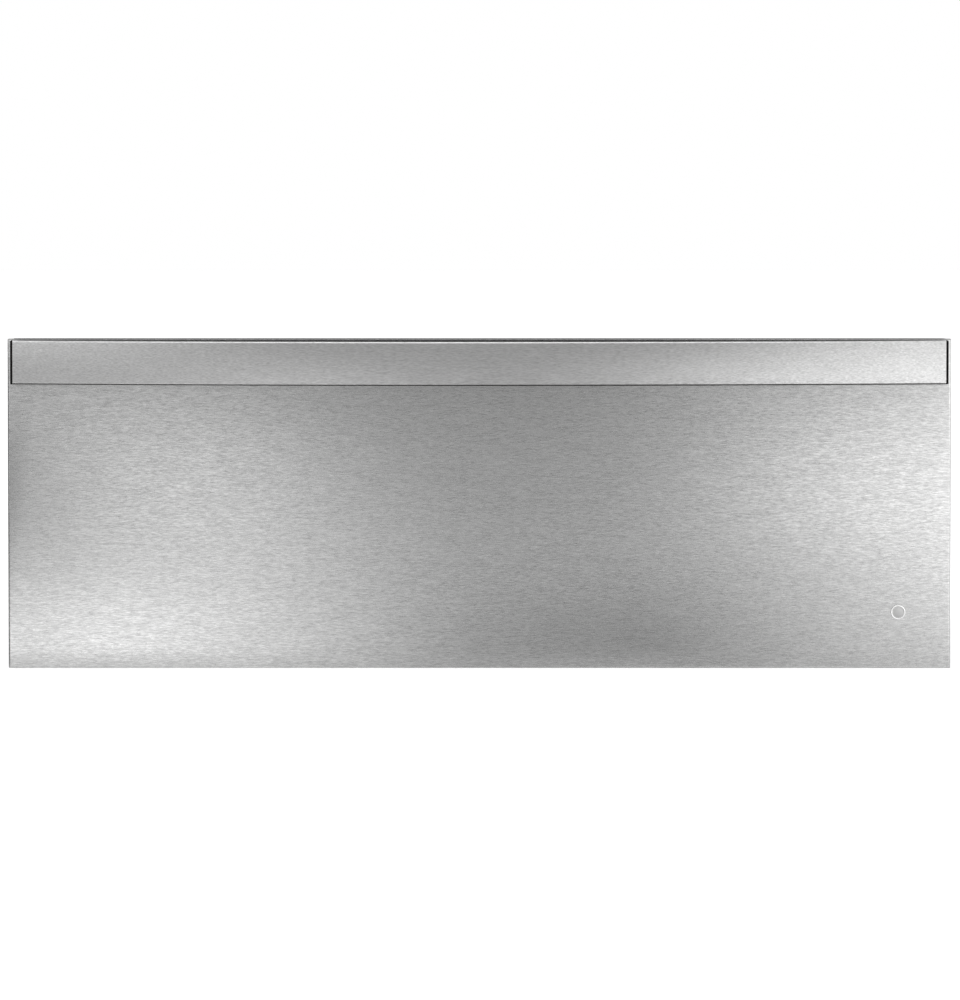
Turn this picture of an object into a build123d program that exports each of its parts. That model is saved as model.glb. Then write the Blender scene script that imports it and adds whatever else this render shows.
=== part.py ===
from build123d import *
from math import asin, cos, degrees, radians, sin, sqrt
import os

# The origin is the centre of the four cabinet screw holes, on the face of the cabinet.
# +X is to the right seen from the room, +Y goes into the cabinet and +Z is up.

# Drawer front, a folded steel skin
front_width = 755.65
front_height = 264.2
front_depth = 22.0
front_gauge = 1.2
front_edge = 1.6  # radius of the pressed front edges
front_lip = 11.0  # rear lips, turned inward
corner_screw_rise = 16.5  # from the front's lower and upper edges to the corner screws
front_drop = 7.0  # how far the front hangs below the chassis
front_overlap = 18.325  # past each side of the chassis
lip_slot_width = 30.0
lip_slot_height = 4.0
lip_slot_pitch = 44.0
lip_slot_count = 4

# Inner panel, its gasket and the channels inside the front
panel_gauge = 0.8
panel_inset = 2.0  # from the front's outline to the panel's
panel_corner = 6.0
gasket_width = 9.0
gasket_height = 4.0
gasket_margin = 0.8  # from the cavity's mouth to the gasket
gasket_corner = 14.0
gasket_gap = 0.2
stiffener_gauge = 0.8
stiffener_width = 35.0
stiffener_foot = 12.0
stiffener_return = 6.0
stiffener_margin = 3.3  # from a handle post's side to the channel's
stiffener_end_gap = 4.0
front_pad_gap = 1.0

# Handle, a flat bar bowed outward
handle_inset = 3.525  # from the front's side to the outside of an end cap
handle_height = 35.0
handle_thickness = 8.0
handle_bow = 36.0  # how far the middle stands out past the ends
handle_standoff = 14.0  # from the front to the back of the bar's ends
handle_drop = 0.5  # from the front's top edge to the bar's
handle_front_chamfer = 0.9
handle_back_chamfer = 1.2
cap_thickness = 1.8
cap_corner = 1.6
post_width = 16.0
post_height = 24.0
post_corner = 3.0
post_inset = 24.0  # from the handle's end to the post's middle
post_screw_grip = 4.5  # how far a screw goes into the bar
post_hole_depth = 5.0

# Round medallion on the front
medallion_radius = 5.85
medallion_height = 1.4
medallion_rim = 1.1
medallion_recess = 0.5
medallion_sides = 16
medallion_side = 42.0  # from the front's right edge to its middle
medallion_rise = 45.0  # from the front's lower edge to its middle

# Chassis, folded from sheet
chassis_height = 232.0
chassis_depth = 578.0
sheet = 1.0
tray_flange = 16.0  # upturned edges of the base, downturned edges of the cover
back_flange = 12.0
side_screw_shares = (0.25, 0.75)  # of the chassis's depth
bulkhead_screw_rise = 60.0  # above and below the chassis's middle
bead_length = 380.0
bead_width = 14.0
bead_height = 1.2
bead_spacing = 90.0
louvre_count = 6
louvre_width = 5.0
louvre_height = 46.0
louvre_pitch = 16.0
louvre_side = 120.0  # from the chassis middle to each bank's middle
louvre_rise = 40.0
intake_count = 4
intake_length = 44.0
intake_width = 5.0
intake_pitch = 70.0

# Front frame, screwed to the cabinet's face
frame_gauge = 1.2
frame_side_overlap = 13.5  # past the chassis sides
frame_top_overlap = 8.0
frame_base_overlap = 4.0
frame_spigot = 16.0
cabinet_hole_radius = 2.4
cabinet_hole_offset = 6.5  # outward from the chassis side
cabinet_hole_spacing_z = 180.0

# Heated cavity and its insulation
wall_space = 12.0  # insulation between the chassis side and the cavity
top_space = 27.2
base_space = 14.0
back_space = 13.6
cavity_rear_space = 66.0  # from the cavity's rear wall to the chassis's back
cavity_gauge = 0.8
cavity_foot = 9.0  # outward lip along the lower edge of each cavity wall
cavity_flange = 8.0
floor_upstand = 8.0
pad_gap = 0.2  # around each insulation pad
tail_opening = (9.9, 13.2)  # width and height in the rear pad, around an element's tail
sensor_opening = (17.6, 22.0)
cutout_opening = (21.6, 22.0)
bulkhead_gauge = 0.8
support_gauge = 0.8
support_crown = 24.0
support_foot = 12.0
support_height = 80.0
support_shares = (0.12, 0.88)  # of the slide's length

# Telescopic slides: a slide's section is drawn from the cavity wall towards the drawer
slide_front = 6.0  # from the cabinet's face to the closed slide's front end
slide_rear_gap = 6.0  # from its rear end to the cavity's rear wall
slide_height = 46.0
slide_level = -20.0
slide_gauge = 1.2
ball_radius = 2.38
ball_clearance = 0.3
cage_gauge = 0.6
cage_space = 1.4  # between the outer and the middle web
cage_set = 0.5  # from the middle web to the inner cage
cage_shoulder = 2.5  # from the ball row down to the outer cage's bend
inner_cage_shoulder = 4.0
middle_bend = 1.3
middle_bend_flats = 1
race_lean = 30.0  # slope of the line between the two ball rows, in degrees
outer_lip = 15.0  # where the outer race ends, in degrees above level
middle_lip = 10.0
inner_cup = 45.0  # half the angle of the inner race
inner_curl_flats = 3
web_clearance = 0.5
middle_setback = 10.0  # how much shorter the middle member is at each end
cage_length = 200.0
outer_cage_start = 140.0
inner_cage_start = 150.0
balls_in_row = 3
cage_window_gap = 0.3
access_hole_length = 26.0
access_hole_height = 9.0

# Release levers on the inner members
lever_pivot = 215.0
lever_front_reach = 34.0
lever_back_reach = 40.0
lever_thickness = 2.2
lever_height = 8.0
lever_gap = 0.4
lever_hole_radius = 2.3
lever_rivet_radius = 2.0
lever_tab = 6.0
lever_tab_reach = 4.5
lever_neck = 2.8  # below the pivot, behind the thumb tab
lever_heel = 1.6  # below it, where the nose starts
lever_toe = 0.8  # below it, at the nose's tip
lever_hook = 3.6  # above it, at the nose's tip
lever_notch = 1.2  # above it, where the nose starts
lever_rivet_head = 3.6
rivet_head_height = 1.0

# Drawer
rail_gauge = 1.2
rail_shelf = 14.0
rail_foot = 10.0
rail_back_gap = 7.0  # from the rail's rear end to the cavity's rear wall
rail_screw_shares = (0.2, 0.8)  # of the slide's length
rail_tab = 17.0
cross_rail_height = 70.0
cross_rail_flange = 9.0
pan_gauge = 0.8
pan_corner = 24.0
pan_sole_chamfer = 7.0
pan_rim = 15.0
pan_rail_gap = 1.0
pan_back_gap = 4.0
pan_clearance = 26.2  # from the cavity's floor to the pan
rim_clearance = 22.2  # from the pan's rim to the cavity's ceiling
rack_wire_radius = 1.5
rack_bearer_radius = 2.5
rack_foot_radius = 2.0
rack_wires = 11
rack_pitch = 44.0
rack_depth = 400.0
rack_rise = 24.0
rack_touch = 0.02

# Moisture vent in the top of the inner panel
vent_slots = 5
vent_slot_width = 12.0
vent_slot_height = 6.0
vent_pitch = 30.0
vent_level = 77.0
vent_plate = 1.0
vent_plate_height = 13.0
vent_plate_margin = 6.0
vent_gap = 0.2
vent_travel = 14.0
vent_guide_side = 93.0
vent_rivet_radius = 1.8
vent_rivet_head = 3.4
vent_knob_width = 16.0
vent_knob_depth = 8.0
duct_margin = 24.0

# Controls on the frame's top rail
control_side = 205.0  # from the middle to the controls' middle
control_level = 106.6
bezel_width = 184.0
bezel_height = 15.4
bezel_thickness = 1.2
window_margin_x = 6.0
window_margin_z = 2.2
housing_depth = 22.0
housing_wall = 1.2
housing_edge = 1.6  # from the window's edge to the housing's outside
key_names = ["power", "heat", "timer"]
key_width = 16.0
key_height = 7.0
key_pitch = 44.0
key_proud = 1.8
key_travel = 1.2
key_clearance = 0.35
key_shoulder = 1.4
key_stem = 4.0
key_board_setback = 9.0
board_gauge = 1.6
switch_size = 6.0
switch_height = 3.4

# Heating element and what watches it
element_radius = 3.3
element_sides = 6
element_rise = 12.2  # above the cavity's floor
element_half_width = 250.0
element_front = 70.0
element_bend = 24.0
element_tail = 14.0  # past the bulkhead
element_stud = 1.8
element_hole = 0.8  # clearance around the tails
bushing_radius = 7.0
bushing_length = 9.0
bracket_width = 12.0
bracket_gauge = 1.0
bracket_foot = 12.0
bracket_places = [150.0, 350.0]
sensor_side = 110.0
sensor_level = 77.0
sensor_radius = 2.4
sensor_reach = 24.0
sensor_flange = 8.0
sensor_tail = 6.0
cutout_side = -190.0
cutout_level = 40.0
cutout_radius = 9.0
cutout_sides = 10
cutout_depth = 8.0
cutout_blade_height = 6.3

# Electrics behind the bulkhead
board_width = 160.0
board_height = 96.0
board_side = 215.0
board_level = 20.0
board_setback = 12.0
board_foot_radius = 2.5
board_foot_inset = 10.0  # from the board's edges to a foot's middle
relay_size = (28.0, 12.0, 15.0)  # width, height and depth
relay_shift = 32.0  # from the board's middle
transformer_size = (36.0, 30.0, 22.0)
transformer_shift = 40.0
bobbin_share = 0.6
capacitor_radius = 5.0
capacitor_height = 16.0
plug_depth = 10.0
plug_inset = 3.0  # from the board's edge to a plug
power_plug = (12.0, 56.0)  # width and height
heater_plug = (20.0, 9.0)
signal_plug = (26.0, 9.0)
sensor_plug_side = 152.0
terminal_side = -120.0
terminal_level = -10.0
terminal_width = 54.0
terminal_depth = 28.0
terminal_ways = 3
terminal_height = 24.0
terminal_well = (9.6, 7.2)  # width and height
grommet_side = -120.0
grommet_level = -72.0
grommet_bore = 4.2
grommet_neck = 7.4
grommet_flange = 10.5
grommet_flange_width = 3.0
grommet_fit = 0.2
grommet_sides = 8
lead_radius = 1.5
lead_bend = 8.0
lead_sides = 4
mains_lead_levels = [14.0, 20.0]

# Fasteners: hexagon-headed sheet screws, and countersunk ones in the outer slide members
screw_radius = 1.9
screw_sides = 4
pin_sides = 6  # of heads, rivets, wires and studs
round_sides = 8  # of pivots, probes and flanges
screw_head_radius = 3.8
screw_head_height = 2.0
screw_length = 6.0
screw_clearance = 0.2
sink_radius = 3.4

# Places that follow from the sizes above
chassis_width = front_width - 2 * front_overlap
handle_length = front_width - 2 * handle_inset
cabinet_hole_spacing_x = chassis_width + 2 * cabinet_hole_offset
chassis_top = chassis_height / 2
chassis_base = -chassis_height / 2
side_inside = chassis_width / 2 - sheet
cavity_half_width = side_inside - wall_space - cavity_gauge
cavity_top = chassis_top - sheet - top_space
cavity_base = chassis_base + sheet + base_space + cavity_gauge
cavity_depth = chassis_depth - cavity_rear_space
bulkhead_front = cavity_depth + cavity_gauge + back_space
bulkhead_back = bulkhead_front + bulkhead_gauge
tray_end = chassis_depth - back_flange - sheet
panel_back = -frame_gauge - gasket_gap - gasket_height
front_back = panel_back - panel_gauge
front_face = front_back - front_depth
skin_inside = front_face + front_gauge
front_base = chassis_base - front_drop
front_top = front_base + front_height
handle_top = front_top - handle_drop
handle_mid = handle_top - handle_height / 2
handle_half = handle_length / 2
bow_radius = (handle_half**2 + handle_bow**2) / (2 * handle_bow)
handle_end_face = front_face - handle_standoff - handle_thickness
handle_nose = handle_end_face - handle_bow
bow_centre = handle_nose + bow_radius
post_side = handle_half - post_inset
post_end = bow_centre - sqrt((bow_radius - handle_thickness) ** 2 - post_side**2)
slide_end = cavity_depth - slide_rear_gap
slide_length = slide_end - slide_front

# Places within a slide's section: a race's radius is that of the middle of its sheet
race = ball_radius + ball_clearance + slide_gauge / 2
outer_ball = (slide_gauge / 2 + race, slide_height / 2 - slide_gauge / 2 - race)
inner_ball = (
    outer_ball[0] + 2 * race * cos(radians(race_lean)),
    outer_ball[1] - 2 * race * sin(radians(race_lean)),
)
middle_web = slide_gauge + cage_space + slide_gauge / 2
inner_web = inner_ball[0] + race + slide_gauge / 2 + web_clearance
slide_width = inner_web + slide_gauge / 2

# Places within the drawer
rail_outside = cavity_half_width - slide_width
rail_inside = rail_outside - rail_gauge
rail_front = panel_back
rail_end = cavity_depth - rail_back_gap
rim_top = cavity_top - rim_clearance
rim_base = rim_top - pan_gauge
pan_sole = cavity_base + pan_clearance
pan_half_width = rail_inside - rail_shelf - pan_rail_gap + rail_gauge
pan_front = panel_back + pan_rim + pan_rail_gap + rail_gauge
pan_end = rail_end - rail_gauge - cross_rail_flange - pan_back_gap


def along_x(profile, near, far):
    # the profile's own axes lie along +Y and +Z
    return extrude(Plane.YZ.offset(near) * profile, far - near)


def along_y(profile, near, far):
    # the profile's own axes lie along +X and +Z
    return extrude(Plane.XZ.offset(-near) * profile, near - far)


def along_z(profile, near, far):
    return extrude(Plane.XY.offset(near) * profile, far - near)


def slab(left, right, low, high):
    # a rectangle between two stated places along each axis of its plane
    return Pos((left + right) / 2, (low + high) / 2) * Rectangle(right - left, high - low)


def block(left, right, near, far, low, high):
    return along_y(slab(left, right, low, high), near, far)


def other_side(solid):
    return mirror(solid, about=Plane.YZ)


def pair(solid):
    return [solid, other_side(solid)]


def write(name, *pieces):
    solids = [solid for piece in pieces for solid in piece.solids()]
    export_step(Compound(children=solids, label=name), f"parts/{name}.step")


def screw(place, facing, length=screw_length):
    # the head stands on the stated place and faces the stated way
    head = extrude(RegularPolygon(screw_head_radius, pin_sides), screw_head_height)
    shank = extrude(RegularPolygon(screw_radius, screw_sides), -length)
    return Plane(origin=place, z_dir=facing) * (head + shank)


def screw_hole(place, facing, length=screw_length):
    outline = RegularPolygon(screw_radius + screw_clearance, screw_sides)
    hole = extrude(outline, length, both=True)
    return Plane(origin=place, z_dir=facing) * hole


def lead(points, radius=lead_radius, bend=lead_bend, sides=lead_sides):
    path = FilletPolyline(*points, radius=bend)
    return sweep(Plane(path @ 0, z_dir=path % 0) * RegularPolygon(radius, sides), path=path)


# ---------- Drawer front ----------
stiffener_right = post_side + post_width / 2 + stiffener_margin
stiffener_left = stiffener_right - stiffener_width
rail_tab_inside = rail_outside - rail_tab
panel_screw_levels = [slide_level - slide_height, slide_level + slide_height]
panel_screw_side = (rail_tab_inside + stiffener_left) / 2
corner_screw_side = (front_width - front_lip) / 2
corner_screw_levels = [front_base + corner_screw_rise, front_top - corner_screw_rise]
post_screw_seat = skin_inside + stiffener_gauge
post_screw_length = post_screw_seat - post_end + post_screw_grip
vent_slot_places = [
    ((i - (vent_slots - 1) / 2) * vent_pitch, vent_level) for i in range(vent_slots)
]
lip_slots = [
    Pos((i - (lip_slot_count - 1) / 2) * lip_slot_pitch, front_top - front_lip / 2)
    * Rectangle(lip_slot_width, lip_slot_height)
    for i in range(lip_slot_count)
]


def front_skin():
    half = front_width / 2
    skin = block(-half, half, front_face, front_back, front_base, front_top)
    front_edges = skin.edges().group_by(Axis.Y)[0]
    skin = fillet(front_edges, front_edge)
    skin -= block(
        front_gauge - half,
        half - front_gauge,
        skin_inside,
        front_back - front_gauge,
        front_base + front_gauge,
        front_top - front_gauge,
    )
    skin -= block(
        front_lip - half,
        half - front_lip,
        front_back - front_gauge,
        front_back,
        front_base + front_lip,
        front_top - front_lip,
    )
    skin -= along_y(Sketch() + lip_slots, front_back - front_gauge, front_back)
    skin -= pair(screw_hole((post_side, skin_inside, handle_mid), (0, 1, 0), front_gauge))
    for level in corner_screw_levels:
        skin -= pair(screw_hole((corner_screw_side, front_back, level), (0, 1, 0)))
    return skin


def inner_panel():
    half = front_width / 2 - panel_inset
    outline = slab(-half, half, front_base + panel_inset, front_top - panel_inset)
    outline = chamfer(outline.vertices(), panel_corner)
    for side, level in vent_slot_places:
        outline -= Pos(side, level) * Rectangle(vent_slot_width, vent_slot_height)
    outline -= lip_slots
    panel = along_y(outline, front_back, panel_back)
    for side in (-vent_guide_side, vent_guide_side):
        hole = RegularPolygon(vent_rivet_radius + screw_clearance, pin_sides)
        panel -= along_y(Pos(side, vent_level) * hole, front_back, panel_back)
    for level in panel_screw_levels:
        panel -= pair(screw_hole((panel_screw_side, panel_back, level), (0, 1, 0)))
    for level in corner_screw_levels:
        panel -= pair(screw_hole((corner_screw_side, panel_back, level), (0, 1, 0)))
    return panel


def stiffener():
    # a channel against the skin, with one foot under the inner panel
    web = skin_inside + stiffener_gauge / 2
    foot = front_back - stiffener_gauge / 2
    left = stiffener_left + stiffener_gauge / 2
    right = stiffener_right - stiffener_gauge / 2
    path = Polyline(
        (stiffener_left - stiffener_foot, foot),
        (left, foot),
        (left, web),
        (right, web),
        (right, foot - stiffener_return),
    )
    low = front_base + front_lip + stiffener_end_gap
    high = front_top - front_lip - stiffener_end_gap / 2
    channel = along_z(trace(path, stiffener_gauge), low, high)
    channel -= screw_hole((post_side, web, handle_mid), (0, 1, 0), stiffener_gauge)
    for level in panel_screw_levels:
        channel -= screw_hole((panel_screw_side, foot, level), (0, 1, 0), stiffener_gauge)
    return channel


def front_pad():
    # the insulation leaves the duct behind the vent slots open to the skin's upper lip
    half = stiffener_left - stiffener_foot - front_pad_gap
    low = front_base + front_gauge + front_pad_gap
    high = front_top - front_gauge - front_pad_gap
    duct_half = vent_slots * vent_pitch / 2 + duct_margin
    outline = slab(-half, half, low, high)
    outline -= slab(-duct_half, duct_half, vent_level - duct_margin, high)
    near_lips = slab(-half, half, front_base + front_lip, front_top - front_lip) & outline
    pad = along_y(outline, skin_inside + pad_gap, front_back - front_gauge - pad_gap)
    return pad + along_y(near_lips, skin_inside + pad_gap, front_back - pad_gap)


def gasket():
    inner_half = cavity_half_width + gasket_margin
    ring = slab(
        -inner_half - gasket_width,
        inner_half + gasket_width,
        cavity_base - gasket_margin - gasket_width,
        cavity_top + gasket_margin + gasket_width,
    )
    ring = fillet(ring.vertices(), gasket_corner)
    ring -= slab(
        -inner_half, inner_half, cavity_base - gasket_margin, cavity_top + gasket_margin
    )
    seal = along_y(ring, panel_back, panel_back + gasket_height)
    crown = seal.faces().sort_by(Axis.Y)[-1].inner_wires()[0].edges()
    return chamfer(crown, gasket_height / 2)


def handle_pieces():
    bow = ThreePointArc(
        (-handle_half, handle_end_face), (0, handle_nose), (handle_half, handle_end_face)
    )
    inner_radius = bow_radius - handle_thickness
    inner_end = bow_centre - sqrt(inner_radius**2 - handle_half**2)
    back = ThreePointArc(
        (-handle_half, inner_end), (0, handle_nose + handle_thickness), (handle_half, inner_end)
    )
    plan = make_face([bow, Line(bow @ 1, back @ 1), back, Line(back @ 0, bow @ 0)])
    low = handle_top - handle_height
    whole = along_z(plan, low, handle_top)
    arcs = whole.edges().filter_by(GeomType.CIRCLE).sort_by(SortBy.RADIUS)
    whole = chamfer(arcs[:2], handle_back_chamfer)
    arcs = whole.edges().filter_by(GeomType.CIRCLE).sort_by(SortBy.RADIUS)
    whole = chamfer(arcs[-2:], handle_front_chamfer)
    inside = handle_half - cap_thickness
    bar = whole & block(-inside, inside, handle_nose, front_face, low, handle_top)
    bar -= pair(screw_hole((post_side, post_end, handle_mid), (0, 1, 0), post_hole_depth))
    cap = whole & block(inside, handle_half, handle_nose, front_face, low, handle_top)
    long_edges = cap.faces().sort_by(Axis.X)[-1].edges().filter_by(Axis.Y)
    cap = chamfer(long_edges, cap_corner)
    return bar, cap


def handle_post(bar):
    outline = Pos(post_side, handle_mid) * Rectangle(post_width, post_height)
    outline = chamfer(outline.vertices(), post_corner)
    post = along_y(outline, post_end - handle_thickness / 2, front_face) - bar
    post = post.solids().sort_by(Axis.Y)[-1]
    hole = screw_hole((post_side, front_face, handle_mid), (0, 1, 0), post_screw_length)
    return post - hole


def medallion():
    disc = extrude(RegularPolygon(medallion_radius, medallion_sides), medallion_height)
    disc = chamfer(disc.faces().sort_by(Axis.Z)[-1].edges(), medallion_recess / 2)
    recess = RegularPolygon(medallion_radius - medallion_rim, medallion_sides)
    disc -= extrude(Plane.XY.offset(medallion_height) * recess, -medallion_recess)
    place = (
        front_width / 2 - medallion_side,
        front_face,
        front_base + medallion_rise,
    )
    return Plane(origin=place, z_dir=(0, -1, 0)) * disc


os.makedirs("parts", exist_ok=True)
bar, cap = handle_pieces()
write("front_skin", front_skin())
write("inner_panel", inner_panel())
write("front_stiffeners", *pair(stiffener()))
write("front_insulation", front_pad())
write("gasket", gasket())
write("handle_bar", bar)
write("handle_end_caps", *pair(cap))
write("handle_posts", *pair(handle_post(bar)))
write("front_medallion", medallion())


# ---------- Drawer ----------
def rail():
    web = rail_inside + rail_gauge / 2
    shelf = rim_base - rail_gauge / 2
    foot = pan_sole - rail_gauge / 2
    path = Polyline(
        (web - rail_shelf, shelf), (web, shelf), (web, foot), (web - rail_foot, foot)
    )
    side = along_y(trace(path, rail_gauge), rail_front, rail_end)
    tab = slab(rail_tab_inside, web, foot, shelf)
    side += along_y(tab, rail_front, rail_front + rail_gauge)
    for level in panel_screw_levels:
        side -= screw_hole((panel_screw_side, rail_front, level), (0, 1, 0))
    for place in rail_screw_places:
        side -= screw_hole((rail_outside, place, slide_level), (-1, 0, 0))
    return side


def cross_rail():
    web = rail_end - rail_gauge / 2
    low = pan_sole + rail_gauge / 2
    high = pan_sole + cross_rail_height - rail_gauge / 2
    flange = web - cross_rail_flange
    path = Polyline((flange, low), (web, low), (web, high), (flange, high))
    return along_x(trace(path, rail_gauge), -rail_inside, rail_inside)


def pan():
    body = block(-pan_half_width, pan_half_width, pan_front, pan_end, pan_sole, rim_top)
    body = fillet(body.edges().filter_by(Axis.Z), pan_corner)
    body = chamfer(body.edges().group_by(Axis.Z)[0], pan_sole_chamfer)
    hollow = block(
        pan_gauge - pan_half_width,
        pan_half_width - pan_gauge,
        pan_front + pan_gauge,
        pan_end - pan_gauge,
        pan_sole + pan_gauge,
        rim_top,
    )
    hollow = fillet(hollow.edges().filter_by(Axis.Z), pan_corner - pan_gauge)
    hollow = chamfer(hollow.edges().group_by(Axis.Z)[0], pan_sole_chamfer - pan_gauge / 2)
    rim = slab(
        -pan_half_width - pan_rim,
        pan_half_width + pan_rim,
        pan_front - pan_rim,
        pan_end + pan_rim,
    )
    rim = chamfer(rim.vertices(), pan_corner / 2)
    return body + along_z(rim, rim_base, rim_top) - hollow


def rack():
    # the wires lie on two bearers, which stand on four short feet
    middle = (pan_front + pan_end) / 2
    floor = pan_sole + pan_gauge
    bearer_level = floor + rack_rise
    wire_level = bearer_level + rack_bearer_radius + rack_wire_radius + rack_touch
    half = (rack_wires - 1) * rack_pitch / 2
    offset = rack_depth / 2 - rack_pitch
    pieces = []
    for i in range(rack_wires):
        rod = Pos(i * rack_pitch - half, wire_level) * RegularPolygon(rack_wire_radius, pin_sides)
        pieces.append(along_y(rod, middle - rack_depth / 2, middle + rack_depth / 2))
    for side in (-offset, offset):
        rod = Pos(middle + side, bearer_level) * RegularPolygon(rack_bearer_radius, pin_sides)
        rod = along_x(rod, -half - rack_pitch / 4, half + rack_pitch / 4)
        for foot_side in (-half, half):
            foot = RegularPolygon(rack_foot_radius, pin_sides)
            foot = Pos(foot_side, middle + side) * foot
            rod += along_z(foot, floor, bearer_level)
        pieces.append(rod)
    return pieces


def vent_slider():
    half = vent_guide_side + vent_travel + vent_plate_margin
    plate = Pos(0, vent_level) * Rectangle(2 * half, vent_plate_height)
    for side, level in vent_slot_places:
        plate -= Pos(side - vent_travel, level) * Rectangle(vent_slot_width, vent_slot_height)
    guide = 2 * (vent_rivet_radius + vent_gap)
    for side in (-vent_guide_side, vent_guide_side):
        middle = side - vent_travel / 2
        plate -= Pos(middle, vent_level) * Rectangle(vent_travel + guide, guide)
    front = panel_back + vent_gap
    knob = Pos(0, vent_level + vent_plate_height / 4) * Rectangle(
        vent_knob_width, vent_plate_height / 2
    )
    slider = along_y(plate, front, front + vent_plate)
    grip = along_y(knob, front + vent_plate, front + vent_knob_depth)
    grip = chamfer(grip.edges().group_by(Axis.Y)[-1], vent_plate)
    return slider + grip


def vent_rivet(side):
    head = panel_back + 2 * vent_gap + vent_plate
    shank = Pos(side, vent_level) * RegularPolygon(vent_rivet_radius, pin_sides)
    disc = Pos(side, vent_level) * RegularPolygon(vent_rivet_head, pin_sides)
    rivet = along_y(shank, front_back - panel_gauge, head)
    return rivet + along_y(disc, head, head + vent_plate)


rail_screw_places = [slide_front + slide_length * share for share in rail_screw_shares]
right_rail = rail()
write("drawer_rail_right", right_rail)
write("drawer_rail_left", other_side(right_rail))
write("drawer_cross_rail", cross_rail())
write("pan", pan())
write("rack", *rack())
write("vent_slider", vent_slider())


# ---------- Telescopic slides ----------
def mirrored_section(half_path):
    # the lower half of a rolled section repeats the upper one
    path = Curve() + half_path
    return trace(path + mirror(path, about=Plane.XZ), slide_gauge)


def bend_corners(centre, radius, start, turn, count):
    # corners of the flats that touch an arc at both ends and between them
    step = turn / count
    reach = radius / cos(radians(step / 2))
    angles = [radians(start + step * (i + 0.5)) for i in range(count)]
    return [(centre[0] + reach * cos(a), centre[1] + reach * sin(a)) for a in angles]


def outer_section():
    web = slide_gauge / 2
    return mirrored_section(
        [
            Line((web, 0), (web, outer_ball[1])),
            CenterArc(outer_ball, race, 180, outer_lip - 180),
        ]
    )


def middle_section():
    lean = asin((middle_web + middle_bend - outer_ball[0]) / (race + middle_bend))
    turn = degrees(lean)
    level = outer_ball[1] - (race + middle_bend) * cos(lean)
    centre = (middle_web + middle_bend, level)
    corners = bend_corners(centre, middle_bend, 180, turn - 90, middle_bend_flats)
    first_race = CenterArc(outer_ball, race, 270 + turn, 90 - race_lean - turn)
    return mirrored_section(
        [
            Polyline((middle_web, 0), *corners, first_race @ 0),
            first_race,
            CenterArc(inner_ball, race, 180 - race_lean, middle_lip + race_lean - 180),
        ]
    )


def inner_section():
    cup = radians(inner_cup)
    curl = (inner_web - inner_ball[0] - race * sin(cup)) / (1 + sin(cup))
    level = inner_ball[1] - (race + curl) * cos(cup)
    centre = (inner_web - curl, level)
    corners = bend_corners(centre, curl, 0, 90 + inner_cup, inner_curl_flats)
    ball_race = CenterArc(inner_ball, race, 270 + inner_cup, -2 * inner_cup)
    return mirrored_section([Polyline((inner_web, 0), *corners, ball_race @ 0), ball_race])


def left_slide(section, near, far):
    # a slide's section stands against the left wall of the cavity
    return along_y(Pos(-cavity_half_width, slide_level) * section, near, far)


def access_holes(member, web, places):
    for place in places:
        hole = Pos(place, slide_level) * Rectangle(access_hole_length, access_hole_height)
        middle = web - cavity_half_width
        member -= along_x(hole, middle - slide_gauge, middle + slide_gauge)
    return member


def outer_member():
    member = left_slide(outer_section(), slide_front, slide_end)
    for place in support_places:
        member -= sunk_screw((slide_gauge - cavity_half_width, place), screw_clearance)
    return member


def middle_member():
    near = slide_front + middle_setback
    far = slide_end - middle_setback
    member = left_slide(middle_section(), near, far)
    return access_holes(member, middle_web, support_places)


def inner_member():
    member = left_slide(inner_section(), slide_front, slide_end)
    web = inner_web - slide_gauge / 2 - cavity_half_width
    for place in rail_screw_places:
        member -= screw_hole((web, place, slide_level), (-1, 0, 0))
    rivet = Pos(lever_pivot, slide_level) * RegularPolygon(lever_rivet_radius, round_sides)
    return member - along_x(rivet, web, web + slide_gauge)


def sunk_screw(place, margin=0.0):
    # a countersunk head, flush with the inside of the outer member's web
    wide = RegularPolygon(sink_radius + margin, screw_sides)
    narrow = RegularPolygon(screw_radius + margin, screw_sides)
    head = loft([Plane.XY * wide, Plane.XY.offset(-slide_gauge) * narrow])
    shank = extrude(Plane.XY.offset(-slide_gauge) * narrow, slide_gauge - screw_length)
    return Plane(origin=(*place, slide_level), z_dir=(1, 0, 0)) * (head + shank)


def ball():
    # flats whose corners reach the ball's radius
    half = ball_radius / sqrt(1 + 2 * (sqrt(2) - 1) ** 2)
    return chamfer(Box(2 * half, 2 * half, 2 * half).edges(), half * (2 - sqrt(2)))


def ball_cage(half_path, row, start):
    path = Curve() + Polyline(*half_path)
    strip = trace(path + mirror(path, about=Plane.XZ), cage_gauge)
    cage = left_slide(strip, start, start + cage_length)
    window = 2 * (ball_radius + cage_window_gap)
    balls = []
    for i in range(balls_in_row):
        place = start + cage_length * (i + 0.5) / balls_in_row
        for side in (-1, 1):
            middle = (row[0] - cavity_half_width, place, slide_level + side * row[1])
            cage -= Pos(middle) * Box(window, window, window)
            balls.append(Pos(middle) * ball())
    return [cage, *balls]


def outer_cage():
    web = slide_gauge + cage_space / 2
    shoulder = outer_ball[1] - cage_shoulder
    return ball_cage([(web, 0), (web, shoulder), outer_ball], outer_ball, outer_cage_start)


def inner_cage():
    web = middle_web + slide_gauge / 2 + cage_set + cage_gauge / 2
    shoulder = inner_ball[1] - inner_cage_shoulder
    neck = (inner_ball[0] - ball_radius, inner_ball[1])
    path = [(web, 0), (web, shoulder), neck, inner_ball]
    return ball_cage(path, inner_ball, inner_cage_start)


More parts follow.
